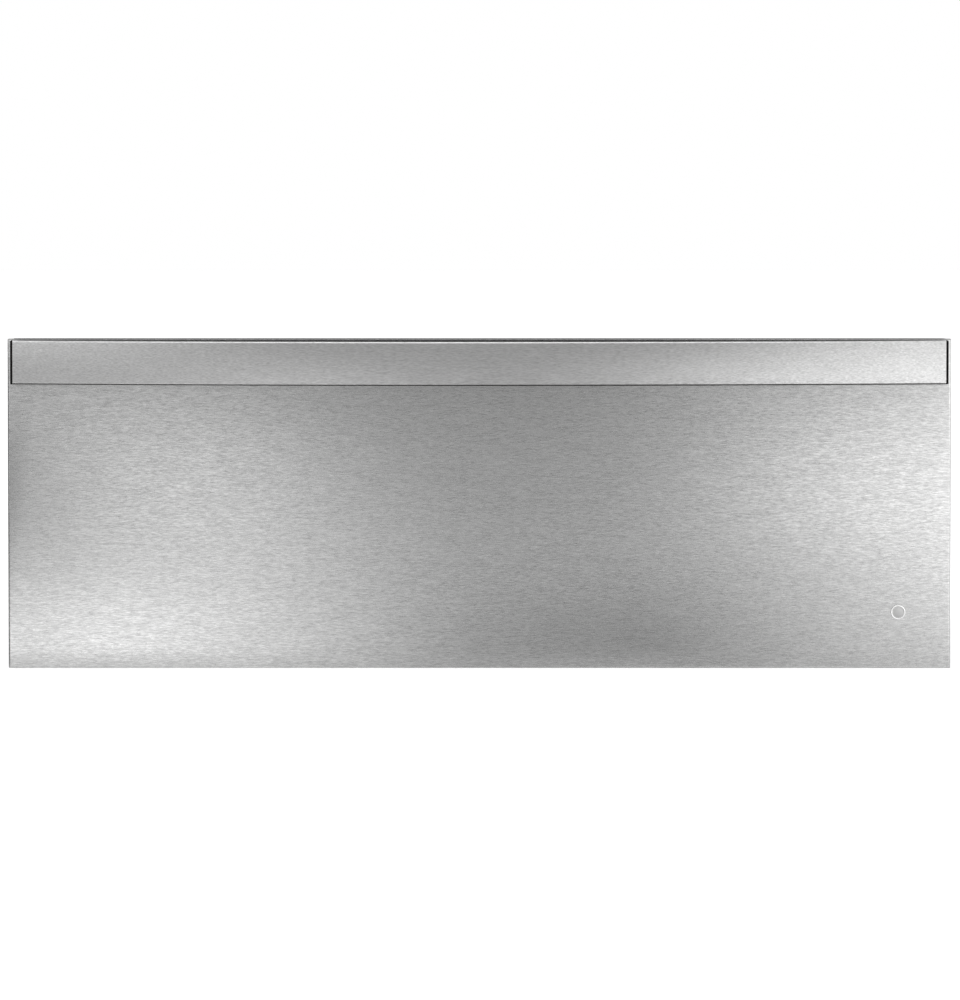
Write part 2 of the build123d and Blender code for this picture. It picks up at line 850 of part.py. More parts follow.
def release_lever():
    # a tapered arm with a thumb tab in front and a nose behind its pivot
    front = lever_pivot - lever_front_reach
    back = lever_pivot + lever_back_reach
    half = lever_height / 2
    outline = Polyline(
        (front, slide_level - half / 2),
        (front + lever_tab, slide_level - lever_neck),
        (lever_pivot, slide_level - half),
        (back - lever_tab, slide_level - lever_heel),
        (back, slide_level - lever_toe),
        (back, slide_level + lever_hook),
        (back - lever_tab, slide_level + lever_notch),
        (lever_pivot + half, slide_level + half),
        (lever_pivot - half, slide_level + half),
        (front, slide_level + half / 4),
        close=True,
    )
    outer_face = lever_face + lever_thickness
    arm = along_x(make_face(outline), lever_face, outer_face)
    tab = Pos(front + lever_tab / 2, slide_level - half / 4) * Rectangle(lever_tab, half)
    arm += along_x(tab, lever_face - lever_tab_reach, lever_face)
    hole = Pos(lever_pivot, slide_level) * RegularPolygon(lever_hole_radius, round_sides)
    return arm - along_x(hole, lever_face, outer_face)


def lever_rivet():
    head_face = lever_face - lever_gap / 2
    shank = Pos(lever_pivot, slide_level) * RegularPolygon(lever_rivet_radius, round_sides)
    head = Pos(lever_pivot, slide_level) * RegularPolygon(lever_rivet_head, round_sides)
    rivet = along_x(shank, head_face, inner_web + slide_gauge / 2 - cavity_half_width)
    return rivet + along_x(head, head_face - rivet_head_height, head_face)


def write_pair(name, *left_pieces):
    write(f"{name}_left", *left_pieces)
    write(f"{name}_right", *(other_side(piece) for piece in left_pieces))


support_places = [slide_front + slide_length * share for share in support_shares]
lever_face = (
    inner_web - slide_gauge / 2 - lever_gap - lever_thickness - cavity_half_width
)
write_pair("slide_outer", outer_member())
write_pair("slide_middle", middle_member())
write_pair("slide_inner", inner_member())
write_pair("ball_cage_outer", *outer_cage())
write_pair("ball_cage_inner", *inner_cage())
write_pair("release_lever", release_lever())


# ---------- Chassis ----------
# where the side screws go in, along +Y and +Z
low_screws = chassis_base + tray_flange / 2
high_screws = chassis_top - tray_flange / 2
frame_screws = [(frame_spigot / 2, 0.0)]
base_screws = [(chassis_depth * share, low_screws) for share in side_screw_shares]
cover_screws = [(chassis_depth * share, high_screws) for share in side_screw_shares]
back_screws = [(chassis_depth - back_flange / 2, 0.0)]
bulkhead_screws = [
    (bulkhead_back + back_flange / 2, level)
    for level in (-bulkhead_screw_rise, bulkhead_screw_rise)
]
side_screw_places = frame_screws + base_screws + cover_screws + back_screws + bulkhead_screws


def side_drilled(piece, places):
    for place, level in places:
        piece -= pair(screw_hole((chassis_width / 2, place, level), (1, 0, 0)))
    return piece


def inset(left, right, low, high, gauge):
    return slab(left + gauge, right - gauge, low + gauge, high - gauge)


def base_pan():
    middle = side_inside - sheet / 2
    lip = chassis_base + tray_flange
    floor = chassis_base + sheet / 2
    path = Polyline((-middle, lip), (-middle, floor), (middle, floor), (middle, lip))
    base = along_y(trace(path, sheet), frame_spigot + sheet, tray_end)
    plate = slab(-side_inside, side_inside, chassis_base, chassis_base + sheet)
    base += along_y(plate, 0, frame_spigot + sheet) + along_y(plate, tray_end, chassis_depth)
    for i in range(intake_count):
        side = (i - (intake_count - 1) / 2) * intake_pitch
        middle = (bulkhead_back + tray_end) / 2
        slot = Pos(side, middle) * Rectangle(intake_length, intake_width)
        base -= along_z(slot, chassis_base, chassis_base + sheet)
    return side_drilled(base, base_screws)


def top_cover():
    middle = side_inside - sheet / 2
    lip = chassis_top - tray_flange
    roof = chassis_top - sheet / 2
    path = Polyline((-middle, lip), (-middle, roof), (middle, roof), (middle, lip))
    cover = along_y(trace(path, sheet), frame_spigot + sheet, tray_end)
    plate = slab(-side_inside, side_inside, chassis_top - sheet, chassis_top)
    cover += along_y(plate, 0, frame_spigot + sheet) + along_y(plate, tray_end, chassis_depth)
    return side_drilled(cover, cover_screws)


def side_panel():
    outline = slab(0, chassis_depth, chassis_base, chassis_top)
    panel = along_x(outline, side_inside, chassis_width / 2)
    for side in (-1, 1):
        middle = Pos(cavity_depth / 2, side * bead_spacing / 2)
        bead = Rectangle(bead_length, bead_width)
        bead = middle * chamfer(bead.vertices(), bead_width / 3)
        hollow = Rectangle(bead_length - 2 * sheet, bead_width - 2 * sheet)
        hollow = middle * chamfer(hollow.vertices(), bead_width / 3)
        panel += along_x(bead, chassis_width / 2, chassis_width / 2 + bead_height)
        panel -= along_x(hollow, side_inside, side_inside + bead_height)
    return side_drilled(panel, side_screw_places)


def back_panel():
    low = chassis_base + sheet
    high = chassis_top - sheet
    outline = slab(-side_inside, side_inside, low, high)
    panel = along_y(outline, chassis_depth - back_flange, chassis_depth)
    hollow = inset(-side_inside, side_inside, low, high, sheet)
    panel -= along_y(hollow, chassis_depth - back_flange, chassis_depth - sheet)
    slots = [
        Pos(bank + (i - (louvre_count - 1) / 2) * louvre_pitch, louvre_rise)
        * Rectangle(louvre_width, louvre_height)
        for bank in (-louvre_side, louvre_side)
        for i in range(louvre_count)
    ]
    neck = RegularPolygon(grommet_neck + grommet_fit, grommet_sides)
    cord_hole = Pos(grommet_side, grommet_level) * neck
    panel -= along_y(Sketch() + slots + cord_hole, chassis_depth - sheet, chassis_depth)
    return side_drilled(panel, back_screws)


def cord_grommet():
    place = Pos(grommet_side, grommet_level)
    neck = place * RegularPolygon(grommet_neck, grommet_sides)
    flange = place * RegularPolygon(grommet_flange, grommet_sides)
    bore = place * Circle(grommet_bore)
    inner = chassis_depth - sheet
    ring = along_y(neck - bore, inner, chassis_depth)
    ring += along_y(flange - bore, inner - grommet_flange_width, inner)
    return ring + along_y(flange - bore, chassis_depth, chassis_depth + grommet_flange_width)


def front_frame():
    half = chassis_width / 2 + frame_side_overlap
    ring = slab(
        -half, half, chassis_base - frame_base_overlap, chassis_top + frame_top_overlap
    )
    ring -= slab(-cavity_half_width, cavity_half_width, cavity_base, cavity_top)
    ring -= Pos(control_side, control_level) * window
    corners = GridLocations(cabinet_hole_spacing_x, cabinet_hole_spacing_z, 2, 2)
    ring -= corners * Circle(cabinet_hole_radius)
    frame = along_y(ring, -frame_gauge, 0)
    sides = (-side_inside, side_inside, chassis_base + sheet, chassis_top - sheet)
    spigot = slab(*sides) - inset(*sides, frame_gauge)
    return side_drilled(frame + along_y(spigot, 0, frame_spigot), frame_screws)


def bulkhead():
    # a wall across the chassis, with side flanges between the tray's and the cover's
    side = side_inside - bulkhead_gauge / 2
    web = bulkhead_front + bulkhead_gauge / 2
    path = Polyline(
        (-side, web + back_flange), (-side, web), (side, web), (side, web + back_flange)
    )
    high = chassis_top - tray_flange - pad_gap
    wall = along_z(trace(path, bulkhead_gauge), -high, high)
    half = side_inside - sheet - pad_gap
    plate = slab(-half, half, chassis_base + sheet, chassis_top - sheet)
    wall += along_y(plate, bulkhead_front, bulkhead_back)
    holes = [
        Pos(side, element_level) * RegularPolygon(element_radius + element_hole, element_sides)
        for side in (-element_half_width, element_half_width)
    ]
    holes.append(Pos(sensor_side, sensor_level) * RegularPolygon(sensor_radius * 2, pin_sides))
    holes.append(Pos(control_side, control_level) * RegularPolygon(lead_radius * 2, pin_sides))
    holes.append(Pos(cutout_side, cutout_level) * Rectangle(cutout_radius * 2, cutout_radius))
    wall -= along_y(Sketch() + holes, bulkhead_front, bulkhead_back)
    return side_drilled(wall, bulkhead_screws)


def slide_support(place):
    # a hat section between the side panel and the cavity wall
    foot = side_inside - support_gauge / 2
    crown = cavity_half_width + cavity_gauge + support_gauge / 2
    half = support_crown / 2
    path = Polyline(
        (foot, place - half - support_foot),
        (foot, place - half),
        (crown, place - half),
        (crown, place + half),
        (foot, place + half),
        (foot, place + half + support_foot),
    )
    section = trace(path, support_gauge)
    half_height = support_height / 2
    hat = along_z(section, slide_level - half_height, slide_level + half_height)
    return hat - slide_screw_hole(place)


def slide_screw_hole(place):
    return screw_hole((cavity_half_width, place, slide_level), (-1, 0, 0))


# ---------- Cavity and insulation ----------
def cavity_liner():
    side = cavity_half_width + cavity_gauge / 2
    low = cavity_base - cavity_gauge / 2
    high = cavity_top + cavity_gauge / 2
    path = Polyline(
        (-side - cavity_foot, low),
        (-side, low),
        (-side, high),
        (side, high),
        (side, low),
        (side + cavity_foot, low),
    )
    liner = along_y(trace(path, cavity_gauge), 0, cavity_depth)
    wall = side + cavity_gauge / 2
    roof = cavity_top + cavity_gauge
    floor = cavity_base - cavity_gauge
    back = slab(-wall, wall, floor, roof)
    for tail_side in (-element_half_width, element_half_width):
        tail = RegularPolygon(element_radius + element_hole, element_sides)
        back -= Pos(tail_side, element_level) * tail
    back -= Pos(sensor_side, sensor_level) * RegularPolygon(sensor_radius + pad_gap, round_sides)
    liner += along_y(back, cavity_depth, cavity_depth + cavity_gauge)
    flange = slab(-wall - cavity_flange, wall + cavity_flange, floor, roof + cavity_flange)
    flange -= slab(-wall, wall, floor, roof)
    liner += along_y(flange, 0, cavity_gauge)
    for place in support_places:
        liner -= pair(slide_screw_hole(place))
    return liner


def cavity_floor():
    side = cavity_half_width - pad_gap - cavity_gauge / 2
    low = cavity_base - cavity_gauge / 2
    lip = cavity_base + floor_upstand
    path = Polyline((-side, lip), (-side, low), (side, low), (side, lip))
    return along_y(trace(path, cavity_gauge), 0, cavity_depth - pad_gap)


pad_side = side_inside - sheet - pad_gap
wide_pad_side = chassis_width / 2 - screw_length - pad_gap
pad_front = frame_spigot + pad_gap
pad_end = bulkhead_front - pad_gap
cavity_outside = cavity_half_width + cavity_gauge
cavity_roof = cavity_top + cavity_gauge


def top_pad():
    low = cavity_roof + pad_gap
    high = chassis_top - sheet - pad_gap
    pad = block(-wide_pad_side, wide_pad_side, pad_front, pad_end, low, high)
    half = bezel_width / 2
    near = control_side - half
    far = control_side + half
    pad -= block(near, far, pad_front, housing_depth + pad_gap, low, high)
    groove = lead_radius * 2
    near = control_side - groove
    far = control_side + groove
    return pad - block(near, far, pad_front, pad_end, control_level - groove, high)


def base_pad():
    low = chassis_base + sheet + pad_gap
    high = cavity_base - cavity_gauge - pad_gap
    return block(-wide_pad_side, wide_pad_side, pad_front, pad_end, low, high)


def wall_pad():
    near = cavity_outside + pad_gap
    end = cavity_depth + cavity_gauge
    pad = block(near, pad_side, pad_front, end, cavity_base + pad_gap, cavity_roof)
    reach = support_crown / 2 + support_foot + pad_gap
    half = support_height / 2 + pad_gap
    for place in support_places:
        low = slide_level - half
        pad -= block(near, pad_side, place - reach, place + reach, low, slide_level + half)
    return pad


def back_pad():
    near = cavity_depth + cavity_gauge + pad_gap
    pad = block(-pad_side, pad_side, near, pad_end, cavity_base, cavity_roof)
    openings = [
        Pos(side, element_level) * Rectangle(*tail_opening)
        for side in (-element_half_width, element_half_width)
    ]
    openings.append(Pos(sensor_side, sensor_level) * Rectangle(*sensor_opening))
    openings.append(Pos(cutout_side, cutout_level) * Rectangle(*cutout_opening))
    return pad - along_y(Sketch() + openings, near, pad_end)


# ---------- Controls ----------
window_width = bezel_width - 2 * window_margin_x
window_height = bezel_height - 2 * window_margin_z
window = Rectangle(window_width, window_height)
key_places = [
    (control_side + (i - (len(key_names) - 1) / 2) * key_pitch, control_level)
    for i in range(len(key_names))
]
switch_face = key_board_setback - switch_height


def bezel():
    plate = Pos(control_side, control_level) * Rectangle(bezel_width, bezel_height)
    front = -frame_gauge - bezel_thickness
    strip = along_y(plate, front, -frame_gauge)
    strip = chamfer(strip.edges().group_by(Axis.Y)[0], bezel_thickness / 2)
    gap = 2 * key_clearance
    holes = [Pos(place) * Rectangle(key_width + gap, key_height + gap) for place in key_places]
    return strip - along_y(Sketch() + holes, front, -frame_gauge)


def key(place):
    front = -frame_gauge - bezel_thickness - key_proud
    shoulder_front = -frame_gauge + key_clearance / 2
    shoulder_back = shoulder_front + bezel_thickness
    cap = along_y(Pos(place) * Rectangle(key_width, key_height), front, shoulder_front)
    cap = chamfer(cap.edges().group_by(Axis.Y)[0], key_proud / 3)
    wide = 2 * key_shoulder
    shoulder = Pos(place) * Rectangle(key_width + wide, key_height + wide)
    stem = Pos(place) * Rectangle(key_stem, key_stem)
    rest = switch_face - key_travel - key_clearance
    return (
        cap
        + along_y(shoulder, shoulder_front, shoulder_back)
        + along_y(stem, shoulder_back, rest)
    )


def control_housing():
    # an open box behind the frame's window, with a ledge that carries the key board
    middle = Pos(control_side, control_level)
    wide = window_width + 2 * housing_edge
    high = window_height + 2 * housing_edge
    shell = along_y(middle * Rectangle(wide, high), 0, housing_depth)
    room = Rectangle(wide - 2 * housing_wall, high - 2 * housing_wall)
    ledge = Rectangle(wide - 4 * housing_wall, high - 4 * housing_wall)
    board_back = key_board_setback + board_gauge
    shell -= along_y(middle * room, 0, board_back)
    shell -= along_y(middle * ledge, board_back, housing_depth - housing_wall)
    exit_hole = middle * RegularPolygon(lead_radius + pad_gap, lead_sides)
    return shell - along_y(exit_hole, housing_depth - housing_wall, housing_depth)


def key_board():
    middle = Pos(control_side, control_level)
    margin = 2 * (housing_edge - housing_wall - pad_gap)
    plate = middle * Rectangle(window_width + margin, window_height + margin)
    board = along_y(plate, key_board_setback, key_board_setback + board_gauge)
    switches = [
        along_y(Pos(place) * Rectangle(switch_size, switch_size), switch_face, key_board_setback)
        for place in key_places
    ]
    return [board, *switches]


# ---------- Heating ----------
def heating_element():
    # one sheathed U over the cavity's floor, with both ends through the rear wall
    tail_end = bulkhead_back + element_tail
    path = FilletPolyline(
        (-element_half_width, tail_end, element_level),
        (-element_half_width, element_front, element_level),
        (element_half_width, element_front, element_level),
        (element_half_width, tail_end, element_level),
        radius=element_bend,
    )
    start = Plane(path @ 0, x_dir=(1, 0, 0), z_dir=path % 0)
    section = start * RegularPolygon(element_radius, element_sides)
    tube = sweep(section, path=path)
    for side in (-element_half_width, element_half_width):
        stud = Pos(side, element_level) * RegularPolygon(element_stud, pin_sides)
        tube += along_y(stud, tail_end, lead_plane + 2 * lead_radius)
    return tube


def bushing():
    ring = RegularPolygon(bushing_radius, element_sides)
    ring -= RegularPolygon(element_radius + pad_gap, element_sides)
    place = Pos(element_half_width, element_level)
    return along_y(place * ring, bulkhead_back, bulkhead_back + bushing_length)


def element_bracket(place):
    # a bent strip from the cavity's floor to the underside of the tube
    top = element_level - element_radius - bracket_gauge / 2
    foot = cavity_base + bracket_gauge / 2
    side = element_half_width - bracket_foot / 2
    path = Polyline(
        (side + bracket_foot, top), (side, top), (side, foot), (side - bracket_foot, foot)
    )
    half = bracket_width / 2
    return along_y(trace(path, bracket_gauge), place - half, place + half)


def temperature_sensor():
    middle = Pos(sensor_side, sensor_level)
    probe = middle * RegularPolygon(sensor_radius, round_sides)
    flange = middle * RegularPolygon(sensor_flange, round_sides)
    connector = middle * Rectangle(sensor_flange, sensor_flange)
    outside = cavity_depth + cavity_gauge
    sensor = along_y(probe, cavity_depth - sensor_reach, lead_plane)
    sensor += along_y(flange, outside, outside + bracket_gauge)
    return sensor + along_y(connector, lead_plane - sensor_tail, lead_plane + sensor_tail / 2)


def thermal_cutout():
    middle = Pos(cutout_side, cutout_level)
    outside = cavity_depth + cavity_gauge
    body = middle * RegularPolygon(cutout_radius, cutout_sides)
    cutout = along_y(body, outside, outside + cutout_depth)
    blade = Rectangle(bracket_gauge, cutout_blade_height)
    for side in (-1, 1):
        place = Pos(side * cutout_radius / 2, 0) * middle
        cutout += along_y(place * blade, outside + cutout_depth, lead_plane + 2 * lead_radius)
    return cutout


# ---------- Electrics ----------
def on_board(side, level, width, height, depth):
    # a moulded part on the board, with its outer edges broken
    outline = Pos(side, level) * Rectangle(width, height)
    solid = along_y(outline, board_back, board_back + depth)
    return chamfer(solid.edges().group_by(Axis.Y)[-1], bracket_gauge)


def control_board():
    middle = Pos(board_side, board_level)
    plate = middle * Rectangle(board_width, board_height)
    foot_span = board_width - 2 * board_foot_inset
    foot_rise = board_height - 2 * board_foot_inset
    feet = GridLocations(foot_span, foot_rise, 2, 2) * RegularPolygon(board_foot_radius, pin_sides)
    feet = Sketch() + feet
    can = Pos(board_side, capacitor_level) * RegularPolygon(capacitor_radius, round_sides)
    width, height, depth = transformer_size
    transformer = on_board(transformer_side, board_level, width, height, depth)
    bobbin = Pos(transformer_side, board_level) * Rectangle(width * bobbin_share, height)
    transformer += along_y(bobbin, board_back, board_back + depth + bracket_gauge)
    return [
        along_y(plate, board_face, board_back),
        along_y(middle * feet, bulkhead_back, board_face),
        along_y(can, board_back, board_back + capacitor_height),
        on_board(relay_side, board_level, *relay_size),
        transformer,
        on_board(power_plug_side, board_level, *power_plug, plug_depth),
        on_board(element_half_width, heater_plug_level, *heater_plug, plug_depth),
        on_board(control_side, signal_plug_level, *signal_plug, plug_depth),
        on_board(sensor_plug_side, signal_plug_level, *signal_plug, plug_depth),
    ]


def terminal_block():
    # a stepped moulding with a well for each screw between its barriers
    step = terminal_height / 4
    low = terminal_level - terminal_height / 2
    high = terminal_level + terminal_height / 2
    near = bulkhead_back
    far = bulkhead_back + terminal_depth
    section = Polyline(
        (near, low),
        (far - step, low),
        (far - step, low + step),
        (far, low + step),
        (far, high - step),
        (far - step, high - step),
        (far - step, high),
        (near, high),
        close=True,
    )
    left = terminal_side - terminal_width / 2
    moulding = along_x(make_face(section), left, left + terminal_width)
    wells = GridLocations(terminal_pitch, 0, terminal_ways, 1) * Rectangle(*terminal_well)
    wells = Pos(terminal_side, terminal_level) * (Sketch() + wells)
    return moulding - along_y(wells, far - step, far)


def straight_heater_lead():
    # from the board down to the right end of the element
    section = Pos(element_half_width, lead_plane) * RegularPolygon(lead_radius, lead_sides)
    top = heater_plug_level - heater_plug[1] / 2
    return along_z(section, element_level + element_stud, top)


def cutout_leads():
    # from the board to the cut-out, and on to the left end of the element
    section = Pos(lead_plane, cutout_level) * RegularPolygon(lead_radius, lead_sides)
    blade = cutout_radius / 2 + bracket_gauge / 2
    first = along_x(section, cutout_side + blade, power_plug_side - power_plug[0] / 2)
    second = lead(
        [
            (cutout_side - blade, lead_plane, cutout_level),
            (-element_half_width, lead_plane, cutout_level),
            (-element_half_width, lead_plane, element_level + element_stud),
        ]
    )
    return [first, second]


def mains_lead(level, side):
    return lead(
        [
            (power_plug_side - power_plug[0] / 2, lead_plane, level),
            (side, lead_plane, level),
            (side, lead_plane, terminal_level + terminal_height / 2),
        ]
    )


element_level = cavity_base + element_rise
board_face = bulkhead_back + board_setback
board_back = board_face + board_gauge
lead_plane = board_back + plug_depth / 2
board_top = board_level + board_height / 2
board_foot_line = board_level - board_height / 2
power_plug_side = board_side - board_width / 2 + plug_inset + power_plug[0] / 2
heater_plug_level = board_foot_line + plug_inset + heater_plug[1] / 2
signal_plug_level = board_top - plug_inset - signal_plug[1] / 2
relay_side = board_side - relay_shift
transformer_side = board_side + transformer_shift
capacitor_level = board_level + relay_size[1]
terminal_pitch = terminal_width / terminal_ways
sensor_lead = [
    (sensor_side + sensor_flange / 2, lead_plane, sensor_level),
    (sensor_plug_side, lead_plane, sensor_level),
    (sensor_plug_side, lead_plane, signal_plug_level + signal_plug[1] / 2),
]
key_lead = [
    (control_side, key_board_setback + board_gauge, control_level),
    (control_side, lead_plane, control_level),
    (control_side, lead_plane, signal_plug_level + signal_plug[1] / 2),
]

write("base_pan", base_pan())
write("top_cover", top_cover())
right_side = side_panel()
write("side_panel_right", right_side)
write("side_panel_left", other_side(right_side))
write("back_panel", back_panel())
write("cord_grommet", cord_grommet())
write("front_frame", front_frame())
write("rear_bulkhead", bulkhead())
write(
    "slide_supports",
    *(solid for place in support_places for solid in pair(slide_support(place))),
)
write("cavity_liner", cavity_liner())
write("cavity_floor", cavity_floor())
write("insulation_top", top_pad())
write("insulation_base", base_pad())
write("insulation_walls", *pair(wall_pad()), back_pad())
write("control_bezel", bezel())
for name, place in zip(key_names, key_places):
    write(f"key_{name}", key(place))
write("control_housing", control_housing())
write("key_board", *key_board())
write("heating_element", heating_element())
write("element_bushings", *pair(bushing()))
write(
    "element_brackets",
    *(solid for place in bracket_places for solid in pair(element_bracket(place))),
)
write("temperature_sensor", temperature_sensor())
write("thermal_cutout", thermal_cutout())
write("control_board", *control_board())
write("terminal_block", terminal_block())
write(
    "power_leads",
    straight_heater_lead(),
    *cutout_leads(),
    mains_lead(mains_lead_levels[0], terminal_side + terminal_pitch / 2),
    mains_lead(mains_lead_levels[1], terminal_side - terminal_pitch / 2),
)
write("signal_leads", lead(sensor_lead), lead(key_lead))

# ---------- Fasteners ----------
side_screws = [
    screw((chassis_width / 2, place, level), (1, 0, 0)) for place, level in side_screw_places
]
sunk_screws = [
    sunk_screw((slide_gauge - cavity_half_width, place)) for place in support_places
]
write(
    "chassis_screws",
    *(solid for item in side_screws + sunk_screws for solid in pair(item)),
)

rail_screw_web = inner_web - slide_gauge / 2 - cavity_half_width
drawer_screws = [
    screw((rail_screw_web, place, slide_level), (-1, 0, 0)) for place in rail_screw_places
]
drawer_screws += [
    screw((panel_screw_side, rail_front + rail_gauge, level), (0, 1, 0))
    for level in panel_screw_levels
]
drawer_screws += [
    screw((corner_screw_side, panel_back, level), (0, 1, 0)) for level in corner_screw_levels
]
post_screw_place = (post_side, post_screw_seat, handle_mid)
drawer_screws.append(screw(post_screw_place, (0, 1, 0), post_screw_length))
write("drawer_screws", *(solid for item in drawer_screws for solid in pair(item)))
write(
    "drawer_rivets",
    *(vent_rivet(side) for side in (-vent_guide_side, vent_guide_side)),
    *pair(lever_rivet()),
)
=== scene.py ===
import math

import bmesh
import bpy
from mathutils import Matrix, Vector


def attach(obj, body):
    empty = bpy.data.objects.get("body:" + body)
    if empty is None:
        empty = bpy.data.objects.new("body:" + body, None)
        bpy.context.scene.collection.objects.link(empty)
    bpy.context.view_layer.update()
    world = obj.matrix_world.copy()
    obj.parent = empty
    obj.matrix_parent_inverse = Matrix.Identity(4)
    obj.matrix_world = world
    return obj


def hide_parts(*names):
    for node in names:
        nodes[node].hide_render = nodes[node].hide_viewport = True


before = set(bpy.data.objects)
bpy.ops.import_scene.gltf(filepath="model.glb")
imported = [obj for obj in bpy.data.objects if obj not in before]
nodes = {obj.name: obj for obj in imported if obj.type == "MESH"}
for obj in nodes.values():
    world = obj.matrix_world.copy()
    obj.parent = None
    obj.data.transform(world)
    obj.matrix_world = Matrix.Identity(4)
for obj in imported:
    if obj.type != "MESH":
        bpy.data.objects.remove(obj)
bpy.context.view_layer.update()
bpy.ops.object.select_all(action="DESELECT")
print("frame loaded:", len(nodes), "nodes")

# turns that make a rod's axis, or a plane's face, point along X, Y or Z
facingX = (0, math.radians(90), 0)
facingY = (math.radians(90), 0, 0)
facingZ = (0, 0, 0)


# selecting, shaping and finishing, used by every piece below

def select(piece):
    bpy.ops.object.select_all(action="DESELECT")
    piece.select_set(True)
    bpy.context.view_layer.objects.active = piece


def selectAll():
    bpy.ops.mesh.select_all(action="SELECT")


def startEdit(piece):
    select(piece)
    bpy.ops.object.mode_set(mode="EDIT")
    selectAll()


def endEdit():
    bpy.ops.object.mode_set(mode="OBJECT")


def pick(piece, kind, choose):
    # in edit mode: only what is chosen stays selected
    bpy.ops.mesh.select_mode(type=kind)
    bpy.ops.mesh.select_all(action="DESELECT")
    mesh = bmesh.from_edit_mesh(piece.data)
    for item in choose(mesh):
        item.select_set(True)
    bmesh.update_edit_mesh(piece.data)


def pickFaces(piece, test):
    pick(piece, "FACE", lambda mesh: [
        face for face in mesh.faces if test(face.calc_center_median(), face.normal)
    ])


def pickEdges(piece, test):
    pick(piece, "EDGE", lambda mesh: [
        edge for edge in mesh.edges if test(edge.verts[0].co, edge.verts[1].co)
    ])


def pickCorners(piece, test):
    pick(piece, "VERT", lambda mesh: [corner for corner in mesh.verts if test(corner.co)])


def edgeAt(axis, level):
    # a test for pickEdges: both ends lie at this level along an axis, 1 for Y and 2 for Z
    return lambda first, second: max(abs(first[axis] - level), abs(second[axis] - level)) < 0.00001


def cutAcross(place, normal, **side):
    selectAll()
    bpy.ops.mesh.bisect(plane_co=place, plane_no=normal, **side)


def moveFaces(x, y, z):
    bpy.ops.mesh.extrude_region_move(TRANSFORM_OT_translate={"value": (x, y, z)})


def bevelEdges(width, segments):
    bpy.ops.mesh.bevel(offset=width, segments=segments, affect="EDGES")


def faceOutwards():
    selectAll()
    bpy.ops.mesh.normals_make_consistent(inside=False)


def mergeAll(distance):
    selectAll()
    bpy.ops.mesh.remove_doubles(threshold=distance)
    faceOutwards()


def startFrom(name, primitive, scale=(1, 1, 1), **sizes):
    # a new primitive, with its place and size put into its mesh
    bpy.ops.object.select_all(action="DESELECT")
    primitive(**sizes)
    piece = bpy.context.object
    piece.name = name
    piece.scale = scale
    bpy.ops.object.transform_apply(location=True, rotation=True, scale=True)
    return piece


def startPlane(name, centre, sizeX, sizeY, facing=facingZ):
    return startFrom(name, bpy.ops.mesh.primitive_plane_add, (sizeX, sizeY, 1),
                     size=1, location=centre, rotation=facing)


def startBox(name, low, high):
    middle = [(a + b) / 2 for a, b in zip(low, high)]
    return startFrom(name, bpy.ops.mesh.primitive_cube_add, [b - a for a, b in zip(low, high)],
                     size=1, location=middle)


def startRod(name, centre, radius, length, facing, sides):
    return startFrom(name, bpy.ops.mesh.primitive_cylinder_add, vertices=sides, radius=radius,
                     depth=length, location=centre, rotation=facing)


def roundEdges(piece, width, segments=2, angle=40):
    select(piece)
    edge = piece.modifiers.new("edge", "BEVEL")
    edge.width = width
    edge.segments = segments
    edge.limit_method = "ANGLE"
    edge.angle_limit = math.radians(angle)
    bpy.ops.object.modifier_apply(modifier="edge")


def copyTo(piece, move):
    twin = piece.copy()
    twin.data = piece.data.copy()
    bpy.context.collection.objects.link(twin)
    twin.data.transform(move)
    return twin


def joinPieces(pieces, name):
    bpy.ops.object.select_all(action="DESELECT")
    for piece in pieces:
        piece.select_set(True)
    bpy.context.view_layer.objects.active = pieces[0]
    bpy.ops.object.join()
    pieces[0].name = name
    return pieces[0]


def finishPiece(piece, body, node, smooth=35):
    # a piece with no materials of its own gets the finish of the node that it replaces
    startEdit(piece)
    mergeAll(0.000004)
    endEdit()
    bpy.ops.object.shade_smooth_by_angle(angle=math.radians(smooth))
    if not piece.data.materials:
        piece.data.materials.append(finishOf[node])
    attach(piece, body)
    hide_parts(node)


# shader nodes: an input takes a plain value or another node's output

def fillInputs(node, inputs):
    for label, value in inputs.items():
        if isinstance(value, bpy.types.NodeSocket):
            node.id_data.links.new(value, node.inputs[label])
        else:
            node.inputs[label].default_value = value


def addNode(tree, kind, inputs, **settings):
    node = tree.nodes.new("ShaderNode" + kind)
    for setting, value in settings.items():
        setattr(node, setting, value)
    fillInputs(node, inputs)
    return node.outputs


def calculate(tree, operation, *values, **settings):
    return addNode(tree, "Math", dict(enumerate(values)), operation=operation, **settings)[0]


def mixColours(tree, mask, first, second):
    return addNode(tree, "Mix", {"Factor": mask, "A": (*first, 1), "B": (*second, 1)},
                   data_type="RGBA")["Result"]


def spreadValue(tree, mask, low, high):
    return addNode(tree, "MapRange", {"Value": mask, "To Min": low, "To Max": high})["Result"]


def addBump(tree, height, strength, distance):
    inputs = {"Height": height, "Strength": strength, "Distance": distance}
    return addNode(tree, "Bump", inputs)["Normal"]


# effects that several finishes share

def newGroup(name, inputs, outputs):
    # each input with its first value; every socket holds a number
    group = bpy.data.node_groups.new(name, "ShaderNodeTree")
    for label, value in inputs.items():
        socket = group.interface.new_socket(
            name=label, in_out="INPUT", socket_type="NodeSocketFloat"
        )
        socket.default_value = value
    for label in outputs:
        group.interface.new_socket(name=label, in_out="OUTPUT", socket_type="NodeSocketFloat")
    given = group.nodes.new("NodeGroupInput").outputs
    leaving = group.nodes.new("NodeGroupOutput")
    place = addNode(group, "TexCoord", {})["Object"]
    return group, given, leaving, place


